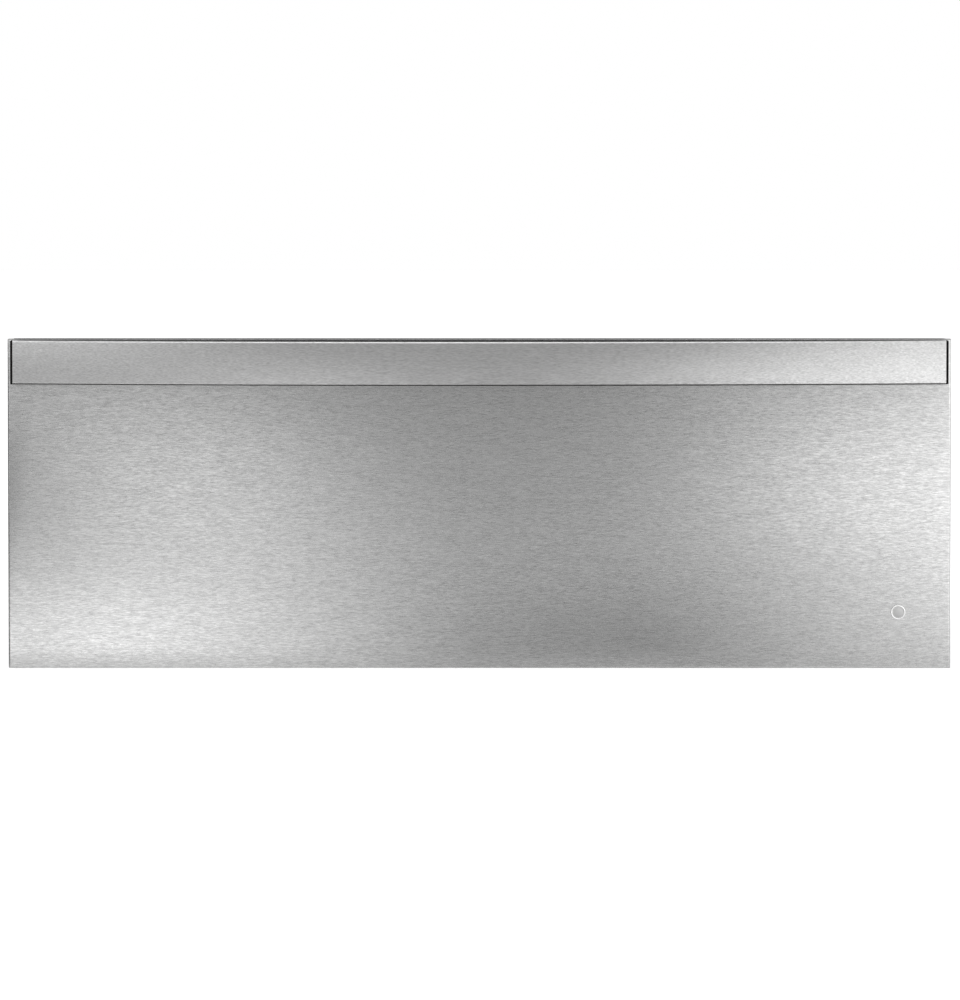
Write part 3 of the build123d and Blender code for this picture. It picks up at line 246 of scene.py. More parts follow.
def makeBrushedGrain():
    # long thin scratches along X, crossed by wide soft bands
    group, given, leaving, place = newGroup(
        "brushedGrain", {"Along": 22.0, "Across": 900.0, "Contrast": 1.0}, ("Shade", "Height")
    )
    stretch = addNode(group, "CombineXYZ", {
        "X": given["Along"], "Y": given["Across"], "Z": given["Across"],
    })["Vector"]
    scaled = addNode(group, "VectorMath", {0: place, 1: stretch}, operation="MULTIPLY")["Vector"]
    wide = addNode(
        group, "VectorMath", {0: scaled, 1: (0.24, 0.19, 0.19)}, operation="MULTIPLY"
    )["Vector"]
    fine = addNode(group, "TexNoise", {
        "Vector": scaled, "Scale": 1.0, "Detail": 3.0, "Roughness": 0.62,
    })["Fac"]
    band = addNode(group, "TexNoise", {"Vector": wide, "Scale": 1.0, "Detail": 2.0})["Fac"]
    both = calculate(group, "MULTIPLY_ADD", band, 0.14, calculate(group, "MULTIPLY", fine, 0.86))
    centred = calculate(group, "SUBTRACT", both, 0.5)
    gain = calculate(group, "MULTIPLY", centred, given["Contrast"])
    shade = calculate(group, "ADD", gain, 0.5, use_clamp=True)
    fillInputs(leaving, {"Shade": shade, "Height": both})
    return group


def makeSoftCloud():
    # broad patches, as of handling marks and uneven coating
    group, given, leaving, place = newGroup(
        "softCloud", {"Scale": 30.0, "Low": 0.35, "High": 0.65}, ("Mask",)
    )
    inputs = {"Vector": place, "Scale": given["Scale"], "Detail": 4.0}
    noise = addNode(group, "TexNoise", inputs)["Fac"]
    inputs = {"Value": noise, "From Min": given["Low"], "From Max": given["High"]}
    fillInputs(leaving, {"Mask": addNode(group, "MapRange", inputs)["Result"]})
    return group


def makeSpangle():
    # the crystal pattern of hot-dip zinc
    group, given, leaving, place = newGroup("spangle", {"Scale": 110.0}, ("Shade", "Edge"))
    inputs = {"Vector": place, "Scale": 160.0, "Detail": 2.0}
    wander = addNode(group, "TexNoise", inputs)["Color"]
    shift = addNode(
        group, "VectorMath", {0: wander, 1: (0.0022, 0.0022, 0.0022), 2: place},
        operation="MULTIPLY_ADD",
    )["Vector"]
    cells = addNode(group, "TexVoronoi", {"Vector": shift, "Scale": given["Scale"]}, feature="F1")
    shade = addNode(group, "SeparateColor", {"Color": cells["Color"]})["Red"]
    fillInputs(leaving, {"Shade": shade, "Edge": cells["Distance"]})
    return group


def makeFineTooth():
    # the small even grain of a moulded surface
    group, given, leaving, place = newGroup("fineTooth", {"Scale": 1800.0}, ("Height", "Dust"))
    inputs = {"Vector": place, "Scale": given["Scale"], "Detail": 2.0}
    tooth = addNode(group, "TexNoise", inputs)["Fac"]
    dust = addNode(group, "TexNoise", {"Vector": place, "Scale": 46.0, "Detail": 5.0})["Fac"]
    fillInputs(leaving, {"Height": tooth, "Dust": dust})
    return group


brushedGrain = makeBrushedGrain()
softCloud = makeSoftCloud()
spangle = makeSpangle()
fineTooth = makeFineTooth()
print("shared effects made")


# finishes

def newMaterial(name, inputs):
    # the inputs are what is the same all over the surface
    material = bpy.data.materials.new(name)
    material.use_nodes = True
    shader = material.node_tree.nodes["Principled BSDF"]
    fillInputs(shader, inputs)
    return material, material.node_tree, shader


def placeGroup(tree, group, **inputs):
    return addNode(tree, "Group", inputs, node_tree=group)


def grey(level):
    return (level, level, level)


brushing = {"along": 230.0, "across": 2000.0, "contrast": 2.8, "depth": 0.00002, "soil": 0.975}


def makeBrushedSteel(name, dark, light, low, high):
    material, tree, shader = newMaterial(name, {"Roughness": 0.34, "Metallic": 1.0})
    grain = placeGroup(tree, brushedGrain, Along=brushing["along"], Across=brushing["across"],
                       Contrast=brushing["contrast"])
    cloud = placeGroup(tree, softCloud, Scale=5.0, Low=0.3, High=0.7)
    soiled = addNode(
        tree, "Mix", {
            "Factor": cloud["Mask"],
            "A": mixColours(tree, grain["Shade"], dark, light),
            "B": (*grey(brushing["soil"]), 1),
        },
        data_type="RGBA", blend_type="MULTIPLY",
    )
    fillInputs(shader, {
        "Base Color": soiled["Result"],
        "Roughness": spreadValue(tree, grain["Shade"], high, low),
        "Normal": addBump(tree, grain["Height"], 1.0, brushing["depth"]),
    })
    return material


def makeSheetMetal(name, dark, light, low, high):
    # cold-rolled sheet with faint rolling lines and handling marks
    material, tree, shader = newMaterial(name, {"Roughness": 0.35, "Metallic": 1.0})
    cloud = placeGroup(tree, softCloud, Scale=18.0, Low=0.3, High=0.7)
    grain = placeGroup(tree, brushedGrain, Along=14.0, Across=420.0, Contrast=0.7)
    fillInputs(shader, {
        "Base Color": mixColours(tree, cloud["Mask"], dark, light),
        "Roughness": spreadValue(tree, grain["Shade"], low, high),
        "Normal": addBump(tree, grain["Height"], 0.12, 0.00002),
    })
    return material


def makeGalvanised(name, dark, light, low, high):
    material, tree, shader = newMaterial(name, {"Roughness": 0.42, "Metallic": 0.65})
    crystals = placeGroup(tree, spangle, Scale=330.0)
    fillInputs(shader, {
        "Base Color": mixColours(tree, crystals["Shade"], dark, light),
        "Roughness": spreadValue(tree, crystals["Shade"], high, low),
        "Normal": addBump(tree, crystals["Edge"], 0.08, 0.00006),
    })
    return material


def makePlated(name, dark, light, low, high):
    material, tree, shader = newMaterial(name, {"Roughness": 0.3, "Metallic": 1.0})
    cloud = placeGroup(tree, softCloud, Scale=70.0, Low=0.35, High=0.65)
    fillInputs(shader, {
        "Base Color": mixColours(tree, cloud["Mask"], dark, light),
        "Roughness": spreadValue(tree, cloud["Mask"], low, high),
    })
    return material


def makeMoulded(name, dark, light, low, high, scale=1800.0, specular=0.5):
    inputs = {"Roughness": 0.5, "Specular IOR Level": specular}
    material, tree, shader = newMaterial(name, inputs)
    tooth = placeGroup(tree, fineTooth, Scale=scale)
    fillInputs(shader, {
        "Base Color": mixColours(tree, tooth["Dust"], dark, light),
        "Roughness": spreadValue(tree, tooth["Dust"], low, high),
        "Normal": addBump(tree, tooth["Height"], 0.3, 0.00004),
    })
    return material


def makeMineralWool(name, dark, light):
    # matted fibre: two stretched noises crossing each other
    inputs = {"Roughness": 0.95, "Specular IOR Level": 0.1}
    material, tree, shader = newMaterial(name, inputs)
    place = addNode(tree, "TexCoord", {})["Object"]
    layers = []
    for scale in ((90, 520, 420), (480, 80, 360)):
        stretched = addNode(tree, "Mapping", {"Vector": place, "Scale": scale})["Vector"]
        inputs = {"Vector": stretched, "Scale": 1.0, "Detail": 5.0, "Distortion": 0.8}
        layers.append(addNode(tree, "TexNoise", inputs)["Fac"])
    matted = calculate(tree, "MAXIMUM", *layers)
    fillInputs(shader, {
        "Base Color": mixColours(tree, matted, dark, light),
        "Normal": addBump(tree, matted, 0.9, 0.0015),
    })
    return material


def makeCircuitBoard(name, dark, light, low, high):
    # green resist over copper tracks
    material, tree, shader = newMaterial(name, {"Roughness": 0.35})
    place = addNode(tree, "TexCoord", {})["Object"]
    turned = addNode(tree, "Mapping", {"Vector": place, "Rotation": facingY})["Vector"]
    tracks = addNode(tree, "TexBrick", {
        "Vector": turned, "Scale": 60.0, "Mortar Size": 0.02, "Mortar Smooth": 0.1,
        "Brick Width": 2.7, "Row Height": 0.11,
    })["Fac"]
    tooth = placeGroup(tree, fineTooth, Scale=900.0)
    fillInputs(shader, {
        "Base Color": mixColours(tree, tracks, dark, light),
        "Roughness": spreadValue(tree, tooth["Dust"], low, high),
        "Normal": addBump(tree, tracks, 0.3, 0.00004),
    })
    return material


# each finish: its darkest and lightest colour, its least and greatest roughness
brushedStainless = makeBrushedSteel(
    "brushedStainless", grey(0.42), (0.72, 0.72, 0.718), 0.21, 0.29
)
barStainless = makeBrushedSteel("barStainless", grey(0.42), (0.71, 0.71, 0.708), 0.33, 0.41)
plainStainless = makeSheetMetal(
    "plainStainless", (0.52, 0.52, 0.515), (0.6, 0.6, 0.595), 0.26, 0.4
)
galvanisedSheet = makeGalvanised(
    "galvanisedSheet", (0.42, 0.43, 0.44), (0.51, 0.52, 0.532), 0.38, 0.48
)
wireStainless = makePlated(
    "wireStainless", (0.58, 0.58, 0.575), (0.68, 0.68, 0.675), 0.16, 0.28
)
zincPlate = makePlated("zincPlate", (0.5, 0.52, 0.54), (0.64, 0.66, 0.68), 0.24, 0.38)
bearingSteel = makePlated("bearingSteel", grey(0.6), (0.72, 0.72, 0.71), 0.1, 0.2)
elementSheath = makePlated("elementSheath", (0.2, 0.19, 0.175), (0.3, 0.28, 0.25), 0.42, 0.6)
medallionSteel = makePlated("medallionSteel", grey(0.8), (0.9, 0.9, 0.895), 0.12, 0.2)
medallionFace = makePlated("medallionFace", grey(0.46), (0.56, 0.56, 0.555), 0.28, 0.36)
# near-black with almost no sheen, darker than plastic is: on the handle's end caps it is partly
# painted shade, the dark line at the handle's ends
blackPlasticAndShade = makeMoulded("blackPlasticAndShade", grey(0.0015), grey(0.006), 0.5, 0.65, specular=0.04)
darkPlastic = makeMoulded(
    "darkPlastic", (0.025, 0.027, 0.03), (0.045, 0.047, 0.05), 0.38, 0.52
)
palePlastic = makeMoulded("palePlastic", (0.62, 0.59, 0.5), (0.74, 0.71, 0.63), 0.4, 0.55)
blackRubber = makeMoulded("blackRubber", grey(0.012), grey(0.03), 0.65, 0.85, 900.0)
greySilicone = makeMoulded(
    "greySilicone", (0.16, 0.165, 0.17), (0.23, 0.235, 0.24), 0.5, 0.7, 700.0
)
ceramicWhite = makeMoulded(
    "ceramicWhite", (0.72, 0.7, 0.66), (0.84, 0.82, 0.78), 0.3, 0.5, 600.0
)
leadSleeve = makeMoulded("leadSleeve", (0.5, 0.035, 0.03), (0.62, 0.06, 0.05), 0.4, 0.6, 700.0)
signalSleeve = makeMoulded("signalSleeve", (0.6, 0.6, 0.58), (0.72, 0.72, 0.7), 0.4, 0.6, 700.0)
keyMark = makeMoulded("keyMark", grey(0.72), grey(0.85), 0.4, 0.5)
mineralWool = makeMineralWool("mineralWool", (0.34, 0.31, 0.2), (0.78, 0.75, 0.62))
circuitBoard = makeCircuitBoard(
    "circuitBoard", (0.022, 0.15, 0.06), (0.034, 0.195, 0.08), 0.3, 0.5
)

nodesInFinish = (
    (brushedStainless, "front_skin"),
    (barStainless, "handle_bar"),
    (plainStainless, "inner_panel pan handle_posts front_frame cavity_liner cavity_floor"
                     " vent_slider"),
    (wireStainless, "rack temperature_sensor"),
    (galvanisedSheet, "base_pan top_cover side_panel_left side_panel_right back_panel"
                      " rear_bulkhead slide_supports front_stiffeners drawer_rail_left"
                      " drawer_rail_right drawer_cross_rail element_brackets"),
    (zincPlate, "slide_outer_left slide_outer_right slide_middle_left slide_middle_right"
                " slide_inner_left slide_inner_right chassis_screws drawer_screws"
                " drawer_rivets"),
    (bearingSteel, "ball_cage_outer_left ball_cage_outer_right ball_cage_inner_left"
                   " ball_cage_inner_right"),
    # the handle's end caps take the near-black partly as painted shade at the handle's ends
    (blackPlasticAndShade, "handle_end_caps release_lever_left release_lever_right control_housing"),
    (darkPlastic, "control_bezel key_power key_heat key_timer"),
    (palePlastic, "terminal_block"),
    (circuitBoard, "key_board control_board"),
    (blackRubber, "cord_grommet"),
    (greySilicone, "gasket"),
    (mineralWool, "insulation_top insulation_base insulation_walls front_insulation"),
    (elementSheath, "heating_element"),
    (ceramicWhite, "element_bushings thermal_cutout"),
    (leadSleeve, "power_leads"),
    (signalSleeve, "signal_leads"),
    (medallionSteel, "front_medallion"),
)
finishOf = {name: finish for finish, names in nodesInFinish for name in names.split()}
for nodeName, finish in finishOf.items():
    for held in nodes[nodeName].material_slots:
        held.material = finish
print("finishes set on", len(finishOf), "nodes")


# handle: a flat bar bowed outward, with a thin cap on each end

handle = {
    "halfLength": 0.3743,
    "top": 0.1407,
    "height": 0.035,
    "thickness": 0.008,
    "nose": -0.0862,  # how far forward the middle comes
    "bow": 0.036,
    "overrun": 1.04,  # the bar is spun this much too long and then cut
    "steps": 120,
    "cap": 0.0018,
    "capSteps": 160,
    "capCorner": 0.0015,
    "frontEdge": 0.0015,
    "backEdge": 0.0012,
}


def bowedBar(name, left, right, steps):
    size = handle
    radius = (size["halfLength"] ** 2 + size["bow"] ** 2) / (2 * size["bow"])
    centre = Vector((0, size["nose"] + radius, size["top"]))
    middle = (0, size["nose"] + size["thickness"] / 2, size["top"] - size["height"] / 2)
    bar = startPlane(name, middle, size["height"], size["thickness"], facingX)
    reach = math.asin(size["halfLength"] / radius) * size["overrun"]
    bar.data.transform(
        Matrix.Translation(centre) @ Matrix.Rotation(reach, 4, "Z") @ Matrix.Translation(-centre)
    )
    startEdit(bar)
    bpy.ops.mesh.spin(steps=steps, angle=2 * reach, center=centre, axis=(0, 0, 1))
    cutAcross((left, 0, 0), (1, 0, 0), use_fill=True, clear_inner=True)
    cutAcross((right, 0, 0), (1, 0, 0), use_fill=True, clear_outer=True)
    mergeAll(0.000002)
    # its four long edges are broken, and it stays in edit mode
    for depth, width, segments in (
        (0, size["frontEdge"], 5),
        (size["thickness"], size["backEdge"], 2),
    ):
        pickEdges(bar, longEdge(centre.y, radius - depth))
        bevelEdges(width, segments)
    return bar


def fromRim(place):
    # how far a place is from the level of the bar's top or bottom
    down = place.z - handle["top"]
    return min(abs(down), abs(down + handle["height"]))


def longEdge(centreY, radius):
    def test(first, second):
        return abs(first.x - second.x) > 0.0001 and all(
            abs(math.hypot(end.x, end.y - centreY) - radius) < 0.0003 and fromRim(end) < 0.0002
            for end in (first, second)
        )
    return test


def makeHandle():
    size = handle
    end = size["halfLength"]
    inside = end - size["cap"]
    bar = bowedBar("handleBar", -inside, inside, size["steps"])
    endEdit()
    finishPiece(bar, "drawer", "handle_bar")
    caps = []
    for left, right in ((-end, -inside), (inside, end)):
        cap = bowedBar("endCap", left, right, size["capSteps"])
        pickEdges(
            cap,
            lambda first, second: abs(abs(first.x) - end) < 0.00002
            and abs(abs(second.x) - end) < 0.00002
            and abs(first.z - second.z) < 0.0001
            and fromRim(first) < 0.00005,
        )
        bevelEdges(size["capCorner"], 4)
        endEdit()
        caps.append(cap)
    caps = joinPieces(caps, "handleEndCaps")
    finishPiece(caps, "drawer", "handle_end_caps")


makeHandle()
print("handle made")


# round medallion, plain

medallion = {
    "centre": (0.335825, -0.0282, -0.078),
    "radius": 0.00585,
    "height": 0.0014,
    "rim": 0.0011,
    "recess": 0.0005,
    "dishStep": 0.0012,
    "dishRise": 0.00012,
    "edge": 0.00022,
}


def makeMedallion():
    size = medallion
    x, y, z = size["centre"]
    middle = (x, y - size["height"] / 2, z)
    disc = startRod("frontMedallion", middle, size["radius"], size["height"], facingY, 72)
    startEdit(disc)
    pickFaces(disc, lambda centre, normal: normal.y < -0.9)
    bpy.ops.mesh.inset(thickness=size["rim"])
    moveFaces(0, size["recess"], 0)
    bpy.ops.mesh.inset(thickness=size["dishStep"])
    bpy.ops.transform.translate(value=(0, -size["dishRise"], 0))
    endEdit()
    roundEdges(disc, size["edge"], 3, 50)
    disc.data.materials.append(medallionSteel)
    disc.data.materials.append(medallionFace)
    dish = size["radius"] - size["rim"] - 0.0001
    for face in disc.data.polygons:
        if math.hypot(face.center.x - x, face.center.z - z) < dish and face.normal.y < 0:
            face.material_index = 1
    finishPiece(disc, "drawer", "front_medallion")


makeMedallion()
print("medallion made")


# copies of solids, merged, with their sharp edges broken

def mergedCopy(nodeName, pieceName, width, segments=2, materials=(), keep=None):
    twin = copyTo(nodes[nodeName], Matrix.Identity(4))
    twin.parent = None
    twin.matrix_world = Matrix.Identity(4)
    twin.name = pieceName
    twin.data.materials.clear()
    for material in materials:
        twin.data.materials.append(material)
    startEdit(twin)
    bpy.ops.mesh.remove_doubles(threshold=0.000002)
    if keep:
        pickCorners(twin, lambda place: not keep(place))
        bpy.ops.mesh.delete(type="VERT")
        selectAll()
    bpy.ops.mesh.dissolve_limited(angle_limit=math.radians(0.5))
    endEdit()
    if width:
        roundEdges(twin, width, segments, 35)
    return twin


refined = {
    # node: body, slot, edge, smoothing angle
    "front_skin": ("drawer", "brushed_stainless", 0.0, 30),
    "inner_panel": ("drawer", "plain_stainless", 0.0, 30),
    "front_frame": ("chassis", "plain_stainless", 0.0, 30),
    "vent_slider": ("drawer", "plain_stainless", 0.0002, 35),
    "handle_posts": ("drawer", "plain_stainless", 0.0005, 35),
    "slide_outer_left": ("chassis", "zinc_plate", 0.0, 45),
    "slide_outer_right": ("chassis", "zinc_plate", 0.0, 45),
    "slide_middle_left": ("slide_middle_left", "zinc_plate", 0.0, 45),
    "slide_middle_right": ("slide_middle_right", "zinc_plate", 0.0, 45),
    "slide_inner_left": ("drawer", "zinc_plate", 0.0, 45),
    "slide_inner_right": ("drawer", "zinc_plate", 0.0, 45),
    "release_lever_left": ("release_lever_left", "black_plastic", 0.0004, 35),
    "release_lever_right": ("release_lever_right", "black_plastic", 0.0004, 35),
    "control_bezel": ("chassis", "dark_plastic", 0.0003, 35),
    "terminal_block": ("chassis", "pale_plastic", 0.0006, 35),
    "thermal_cutout": ("chassis", "ceramic_white", 0.0004, 35),
    "element_bushings": ("chassis", "ceramic_white", 0.0006, 35),
}


def makeRefined():
    for nodeName, (body, slotName, width, smooth) in refined.items():
        first, *others = nodeName.split("_")
        pieceName = first + "".join(word.capitalize() for word in others)
        twin = mergedCopy(nodeName, pieceName, width)
        finishPiece(twin, body, nodeName, smooth)


makeRefined()
print("merged copies made:", len(refined))


# seal round the back of the drawer front

seal = {
    "halfWidth": 0.3555,
    "low": -0.11,
    "high": 0.0976,
    "width": 0.009,
    "face": -0.0054,
    "height": 0.004,
    "corner": 0.014,
    "lip": 0.0017,
}


def makeSeal():
    size = seal
    middle = (0, size["face"], (size["low"] + size["high"]) / 2)
    tall = size["high"] - size["low"]
    ring = startPlane("gasketSeal", middle, 2 * size["halfWidth"], tall, facingY)
    startEdit(ring)
    bpy.ops.mesh.bevel(offset=size["corner"], segments=8, affect="VERTICES")
    selectAll()
    bpy.ops.mesh.inset(thickness=size["width"])
    bpy.ops.mesh.delete(type="FACE")
    selectAll()
    moveFaces(0, size["height"], 0)
    faceOutwards()
    # the outer lip of the crown is rounded more than its foot
    pickEdges(ring, edgeAt(1, size["face"] + size["height"]))
    bpy.ops.mesh.region_to_loop()
    bevelEdges(size["lip"], 4)
    endEdit()
    finishPiece(ring, "drawer", "gasket")


makeSeal()
print("seal made")


# pan: drawn from one sheet, with a flat rim

drawnPan = {
    "halfWidth": 0.31616,
    "front": 0.0118,
    "back": 0.4908,
    "sole": -0.074,
    "rimBase": 0.0648,
    "gauge": 0.0008,
    "corner": 0.024,
    "soleRadius": 0.009,
    "rim": 0.015,
    "rimRadius": 0.003,
}


def makePan():
    size = drawnPan
    half, front, back = size["halfWidth"], size["front"], size["back"]
    sole, rimBase = size["sole"], size["rimBase"]
    shell = startBox("pan", (-half, front, sole), (half, back, rimBase))
    startEdit(shell)
    pickEdges(shell, lambda first, second: abs(first.z - second.z) > 0.1)
    bevelEdges(size["corner"], 9)
    pickFaces(shell, lambda centre, normal: normal.z > 0.9)
    bpy.ops.mesh.delete(type="FACE")
    pickEdges(shell, edgeAt(2, sole))
    bevelEdges(size["soleRadius"], 5)
    faceOutwards()
    # the rim is drawn outwards from the top edge
    pickEdges(shell, edgeAt(2, rimBase))
    moveFaces(0, 0, 0)
    bpy.ops.transform.resize(
        value=(1 + size["rim"] / half, 1 + size["rim"] / ((back - front) / 2), 1),
        center_override=(0, (front + back) / 2, rimBase),
    )
    # its inner edge is rolled over a small radius
    onRim = edgeAt(2, rimBase)
    pickEdges(
        shell,
        lambda first, second: onRim(first, second)
        and max(abs(first.x), abs(second.x)) < half + 0.00002
        and min(first.y, second.y) > front - 0.00002
        and max(first.y, second.y) < back + 0.00002,
    )
    bevelEdges(size["rimRadius"], 4)
    mergeAll(0.00001)
    endEdit()
    wall = shell.modifiers.new("wall", "SOLIDIFY")
    wall.thickness = size["gauge"]
    wall.offset = -1
    bpy.ops.object.modifier_apply(modifier="wall")
    finishPiece(shell, "drawer", "pan", 40)


makePan()
print("pan made")


# rack: round wires laid over two bearers on short feet

wireRack = {
    "wires": 11,
    "pitch": 0.044,
    "depth": 0.4,
    "middle": 0.2513,
    "bearerOut": 0.156,  # each side of the middle
    "wireLevel": -0.04518,
    "bearerLevel": -0.0492,
    "floor": -0.0732,
    # radius and rounding of the ends
    "wire": (0.0015, 0.0008),
    "bearer": (0.0025, 0.0012),
    "foot": (0.002, 0.001),
}


def rackRod(name, place, length, facing, sides):
    radius, rounding = wireRack[name]
    rod = startRod(name, place, radius, length, facing, sides)
    roundEdges(rod, rounding, 3)
    return rod


def makeRack():
    size = wireRack
    half = (size["wires"] - 1) * size["pitch"] / 2
    level, tall = size["bearerLevel"], size["bearerLevel"] - size["floor"]
    place = (-half, size["middle"], size["wireLevel"])
    pieces = [rackRod("wire", place, size["depth"], facingY, 16)]
    for i in range(1, size["wires"]):
        pieces.append(copyTo(pieces[0], Matrix.Translation((i * size["pitch"], 0, 0))))
    for y in (size["middle"] - size["bearerOut"], size["middle"] + size["bearerOut"]):
        long = 2 * half + size["pitch"] / 2
        pieces.append(rackRod("bearer", (0, y, level), long, facingX, 20))
        for x in (-half, half):
            pieces.append(rackRod("foot", (x, y, size["floor"] + tall / 2), tall, facingZ, 16))
    rack = joinPieces(pieces, "wireRack")
    finishPiece(rack, "drawer", "rack", 50)


makeRack()
print("rack made")


# bent rods: the element's tube and the leads

def bentRod(name, points, radius, bend, sides=14, segments=8):
    # a disc is drawn along straight runs and spun round each corner
    points = [Vector(point) for point in points]
    way = (points[1] - points[0]).normalized()
    rod = startFrom(name, bpy.ops.mesh.primitive_circle_add,
                    vertices=sides, radius=radius, fill_type="NGON")
    turn = way.to_track_quat("Z", "Y").to_matrix().to_4x4()
    rod.data.transform(Matrix.Translation(points[0]) @ turn)
    startEdit(rod)
    at = points[0]
    for i in range(1, len(points)):
        way = (points[i] - points[i - 1]).normalized()
        last = i == len(points) - 1
        end = points[i] if last else points[i] - way * bend
        moveFaces(*(end - at))
        if last:
            break
        turned = (points[i + 1] - points[i]).normalized()
        bpy.ops.mesh.spin(
            steps=segments, angle=-way.angle(turned), center=end + turned * bend,
            axis=way.cross(turned),
        )
        at = points[i] + turned * bend
    endEdit()
    return rod


element = {
    "radius": 0.0033,
    "side": 0.25,
    "front": 0.07,
    "level": -0.088,
    "tail": 0.5412,
    "bend": 0.024,
    "stud": 0.0018,
    "studEnd": 0.5488,
    "collar": 0.004,
    "collarEdge": 0.0006,
}


def makeElement():
    size = element
    side, level, tail = size["side"], size["level"], size["tail"]
    corners = [(-side, tail), (-side, size["front"]), (side, size["front"]), (side, tail)]
    pieces = [bentRod(
        "heatingElement", [(x, y, level) for x, y in corners], size["radius"], size["bend"], 20, 12
    )]
    for x in (-side, side):
        place = (x, (tail + size["studEnd"]) / 2, level)
        pieces.append(startRod(
            "stud", place, size["stud"], size["studEnd"] - tail, facingY, 16
        ))
        place = (x, tail - size["collar"] / 2, level)
        collar = startRod(
            "collar", place, size["radius"] - 0.0001, size["collar"], facingY, 20
        )
        roundEdges(collar, size["collarEdge"])
        pieces.append(collar)
    whole = joinPieces(pieces, "heatingElement")
    finishPiece(whole, "chassis", "heating_element", 50)


makeElement()
print("element made")


leads = {
    "radius": 0.0015,
    "bend": 0.008,
    "plane": 0.5458,
    # corners as X and Z in the plane, or as X, Y and Z
    "power": [
        [(0.25, -0.0862), (0.25, -0.025)],
        [(0.138, 0.04), (-0.185, 0.04)],
        [(-0.195, 0.04), (-0.25, 0.04), (-0.25, -0.0862)],
        [(0.138, 0.014), (-0.111, 0.014), (-0.111, 0.002)],
        [(0.138, 0.02), (-0.129, 0.02), (-0.129, 0.002)],
    ],
    "signal": [
        [(0.114, 0.077), (0.152, 0.077), (0.152, 0.065)],
        [(0.205, 0.0106, 0.1066), (0.205, 0.1066), (0.205, 0.065)],
    ],
}


def leadCorner(x, *rest):
    return (x, *rest) if len(rest) == 2 else (x, leads["plane"], *rest)


def makeLeads():
    for kind in ("power", "signal"):
        runs = []
        for route in leads[kind]:
            points = [leadCorner(*corner) for corner in route]
            runs.append(bentRod(kind + "Lead", points, leads["radius"], leads["bend"]))
        whole = joinPieces(runs, kind + "Leads")
        finishPiece(whole, "chassis", kind + "_leads", 50)


makeLeads()
print("leads made")


# screws: a hexagon head with a cross recess on a pointed shank

screws = {
    "headRadius": 0.0038,
    "headHeight": 0.002,
    "headEdge": 0.0004,
    "flangeHeight": 0.0006,
    "flangeShare": 0.995,  # of the head's radius
    "recess": (0.0021, 0.00035),  # half length and half width of one arm
    "recessFloor": 0.0011,
    "shank": 0.0019,
    "pitch": 0.0012,
    "threadShare": 0.8,  # the thread's root and the tip, against the shank
    "tipShare": 0.45,
    "length": 0.006,
    "postLength": 0.02487,
    "sunkRadius": 0.0034,
    "sunkHead": 0.0012,
    "sunkShare": 0.52,
    "sunkRim": 0.0016,
    "sunkRecess": 0.0008,
    # on the chassis: Y and Z on its sides, and Y in the outer slides
    "chassisSide": 0.3595,
    "chassisPlaces": [(0.008, 0.0), (0.1445, -0.108), (0.4335, -0.108), (0.1445, 0.108),
                      (0.4335, 0.108), (0.572, 0.0), (0.5332, -0.06), (0.5332, 0.06)],
    "sunkSide": 0.3445,
    "sunkPlaces": [0.066, 0.446],
    "slideLevel": -0.02,
    # on the drawer: Y in the rails, and X, Y and Z inside the front and its handle posts
    "railSide": 0.33236,
    "railPlaces": [0.106, 0.406],
    "frontPlaces": [(0.32038, -0.0042, -0.066), (0.32038, -0.0042, 0.026),
                    (0.372325, -0.0054, -0.1065), (0.372325, -0.0054, 0.1247)],
    "postPlace": (0.3503, -0.0262, 0.1232),
}


def narrow(share):
    bpy.ops.transform.resize(value=(share, share, 1), center_override=(0, 0, 0))


def makeScrew(length):
    size = screws
    radius, tall, pitch = size["headRadius"], size["headHeight"], size["pitch"]
    head = startRod("screw", (0, 0, tall / 2), radius, tall, facingZ, 6)
    roundEdges(head, size["headEdge"], 2, 70)
    thin = size["flangeHeight"]
    flange = startRod("flange", (0, 0, thin / 2), radius, thin, facingZ, 28)
    flange.data.transform(Matrix.Diagonal((size["flangeShare"], size["flangeShare"], 1, 1)))
    arm, half = size["recess"]
    for turn in (0, 90):
        cutter = startBox("cutter", (-arm, -half, size["recessFloor"]), (arm, half, 1.5 * tall))
        cutter.data.transform(Matrix.Rotation(math.radians(turn), 4, "Z"))
        select(head)
        cut = head.modifiers.new("cut", "BOOLEAN")
        cut.operation = "DIFFERENCE"
        cut.object = cutter
        bpy.ops.object.modifier_apply(modifier="cut")
        bpy.data.objects.remove(cutter)
    shank = startRod("shank", (0, 0, -length / 2), size["shank"], length, facingZ, 12)
    startEdit(shank)
    for step in range(1, int(length / pitch)):
        cutAcross((0, 0, -step * pitch), (0, 0, 1))
    # every second ring is drawn in, so the shank shows a thread
    pickCorners(
        shank,
        lambda place: -length + 0.0005 < place.z < -0.0005 and round(-place.z / pitch) % 2 == 1,
    )
    narrow(size["threadShare"])
    pickCorners(shank, lambda place: place.z < 0.0004 - length)
    narrow(size["tipShare"])
    endEdit()
    return joinPieces([head, flange, shank], "screw")


def makeSunkScrew():
    size = screws
    length = size["length"]
    whole = startRod("sunk", (0, 0, -length / 2), size["sunkRadius"], length, facingZ, 24)
    startEdit(whole)
    cutAcross((0, 0, -size["sunkHead"]), (0, 0, 1))
    pickCorners(whole, lambda place: place.z < -0.001)
    narrow(size["sunkShare"])
    pickFaces(whole, lambda centre, normal: normal.z > 0.9)
    bpy.ops.mesh.inset(thickness=size["sunkRim"])
    moveFaces(0, 0, -size["sunkRecess"])
    endEdit()
    return whole


def drive(pattern, place, facing):
    # a copy with its head on the stated place, facing the stated way
    turn = Vector(facing).to_track_quat("Z", "Y").to_matrix().to_4x4()
    return copyTo(pattern, Matrix.Translation(place) @ turn)


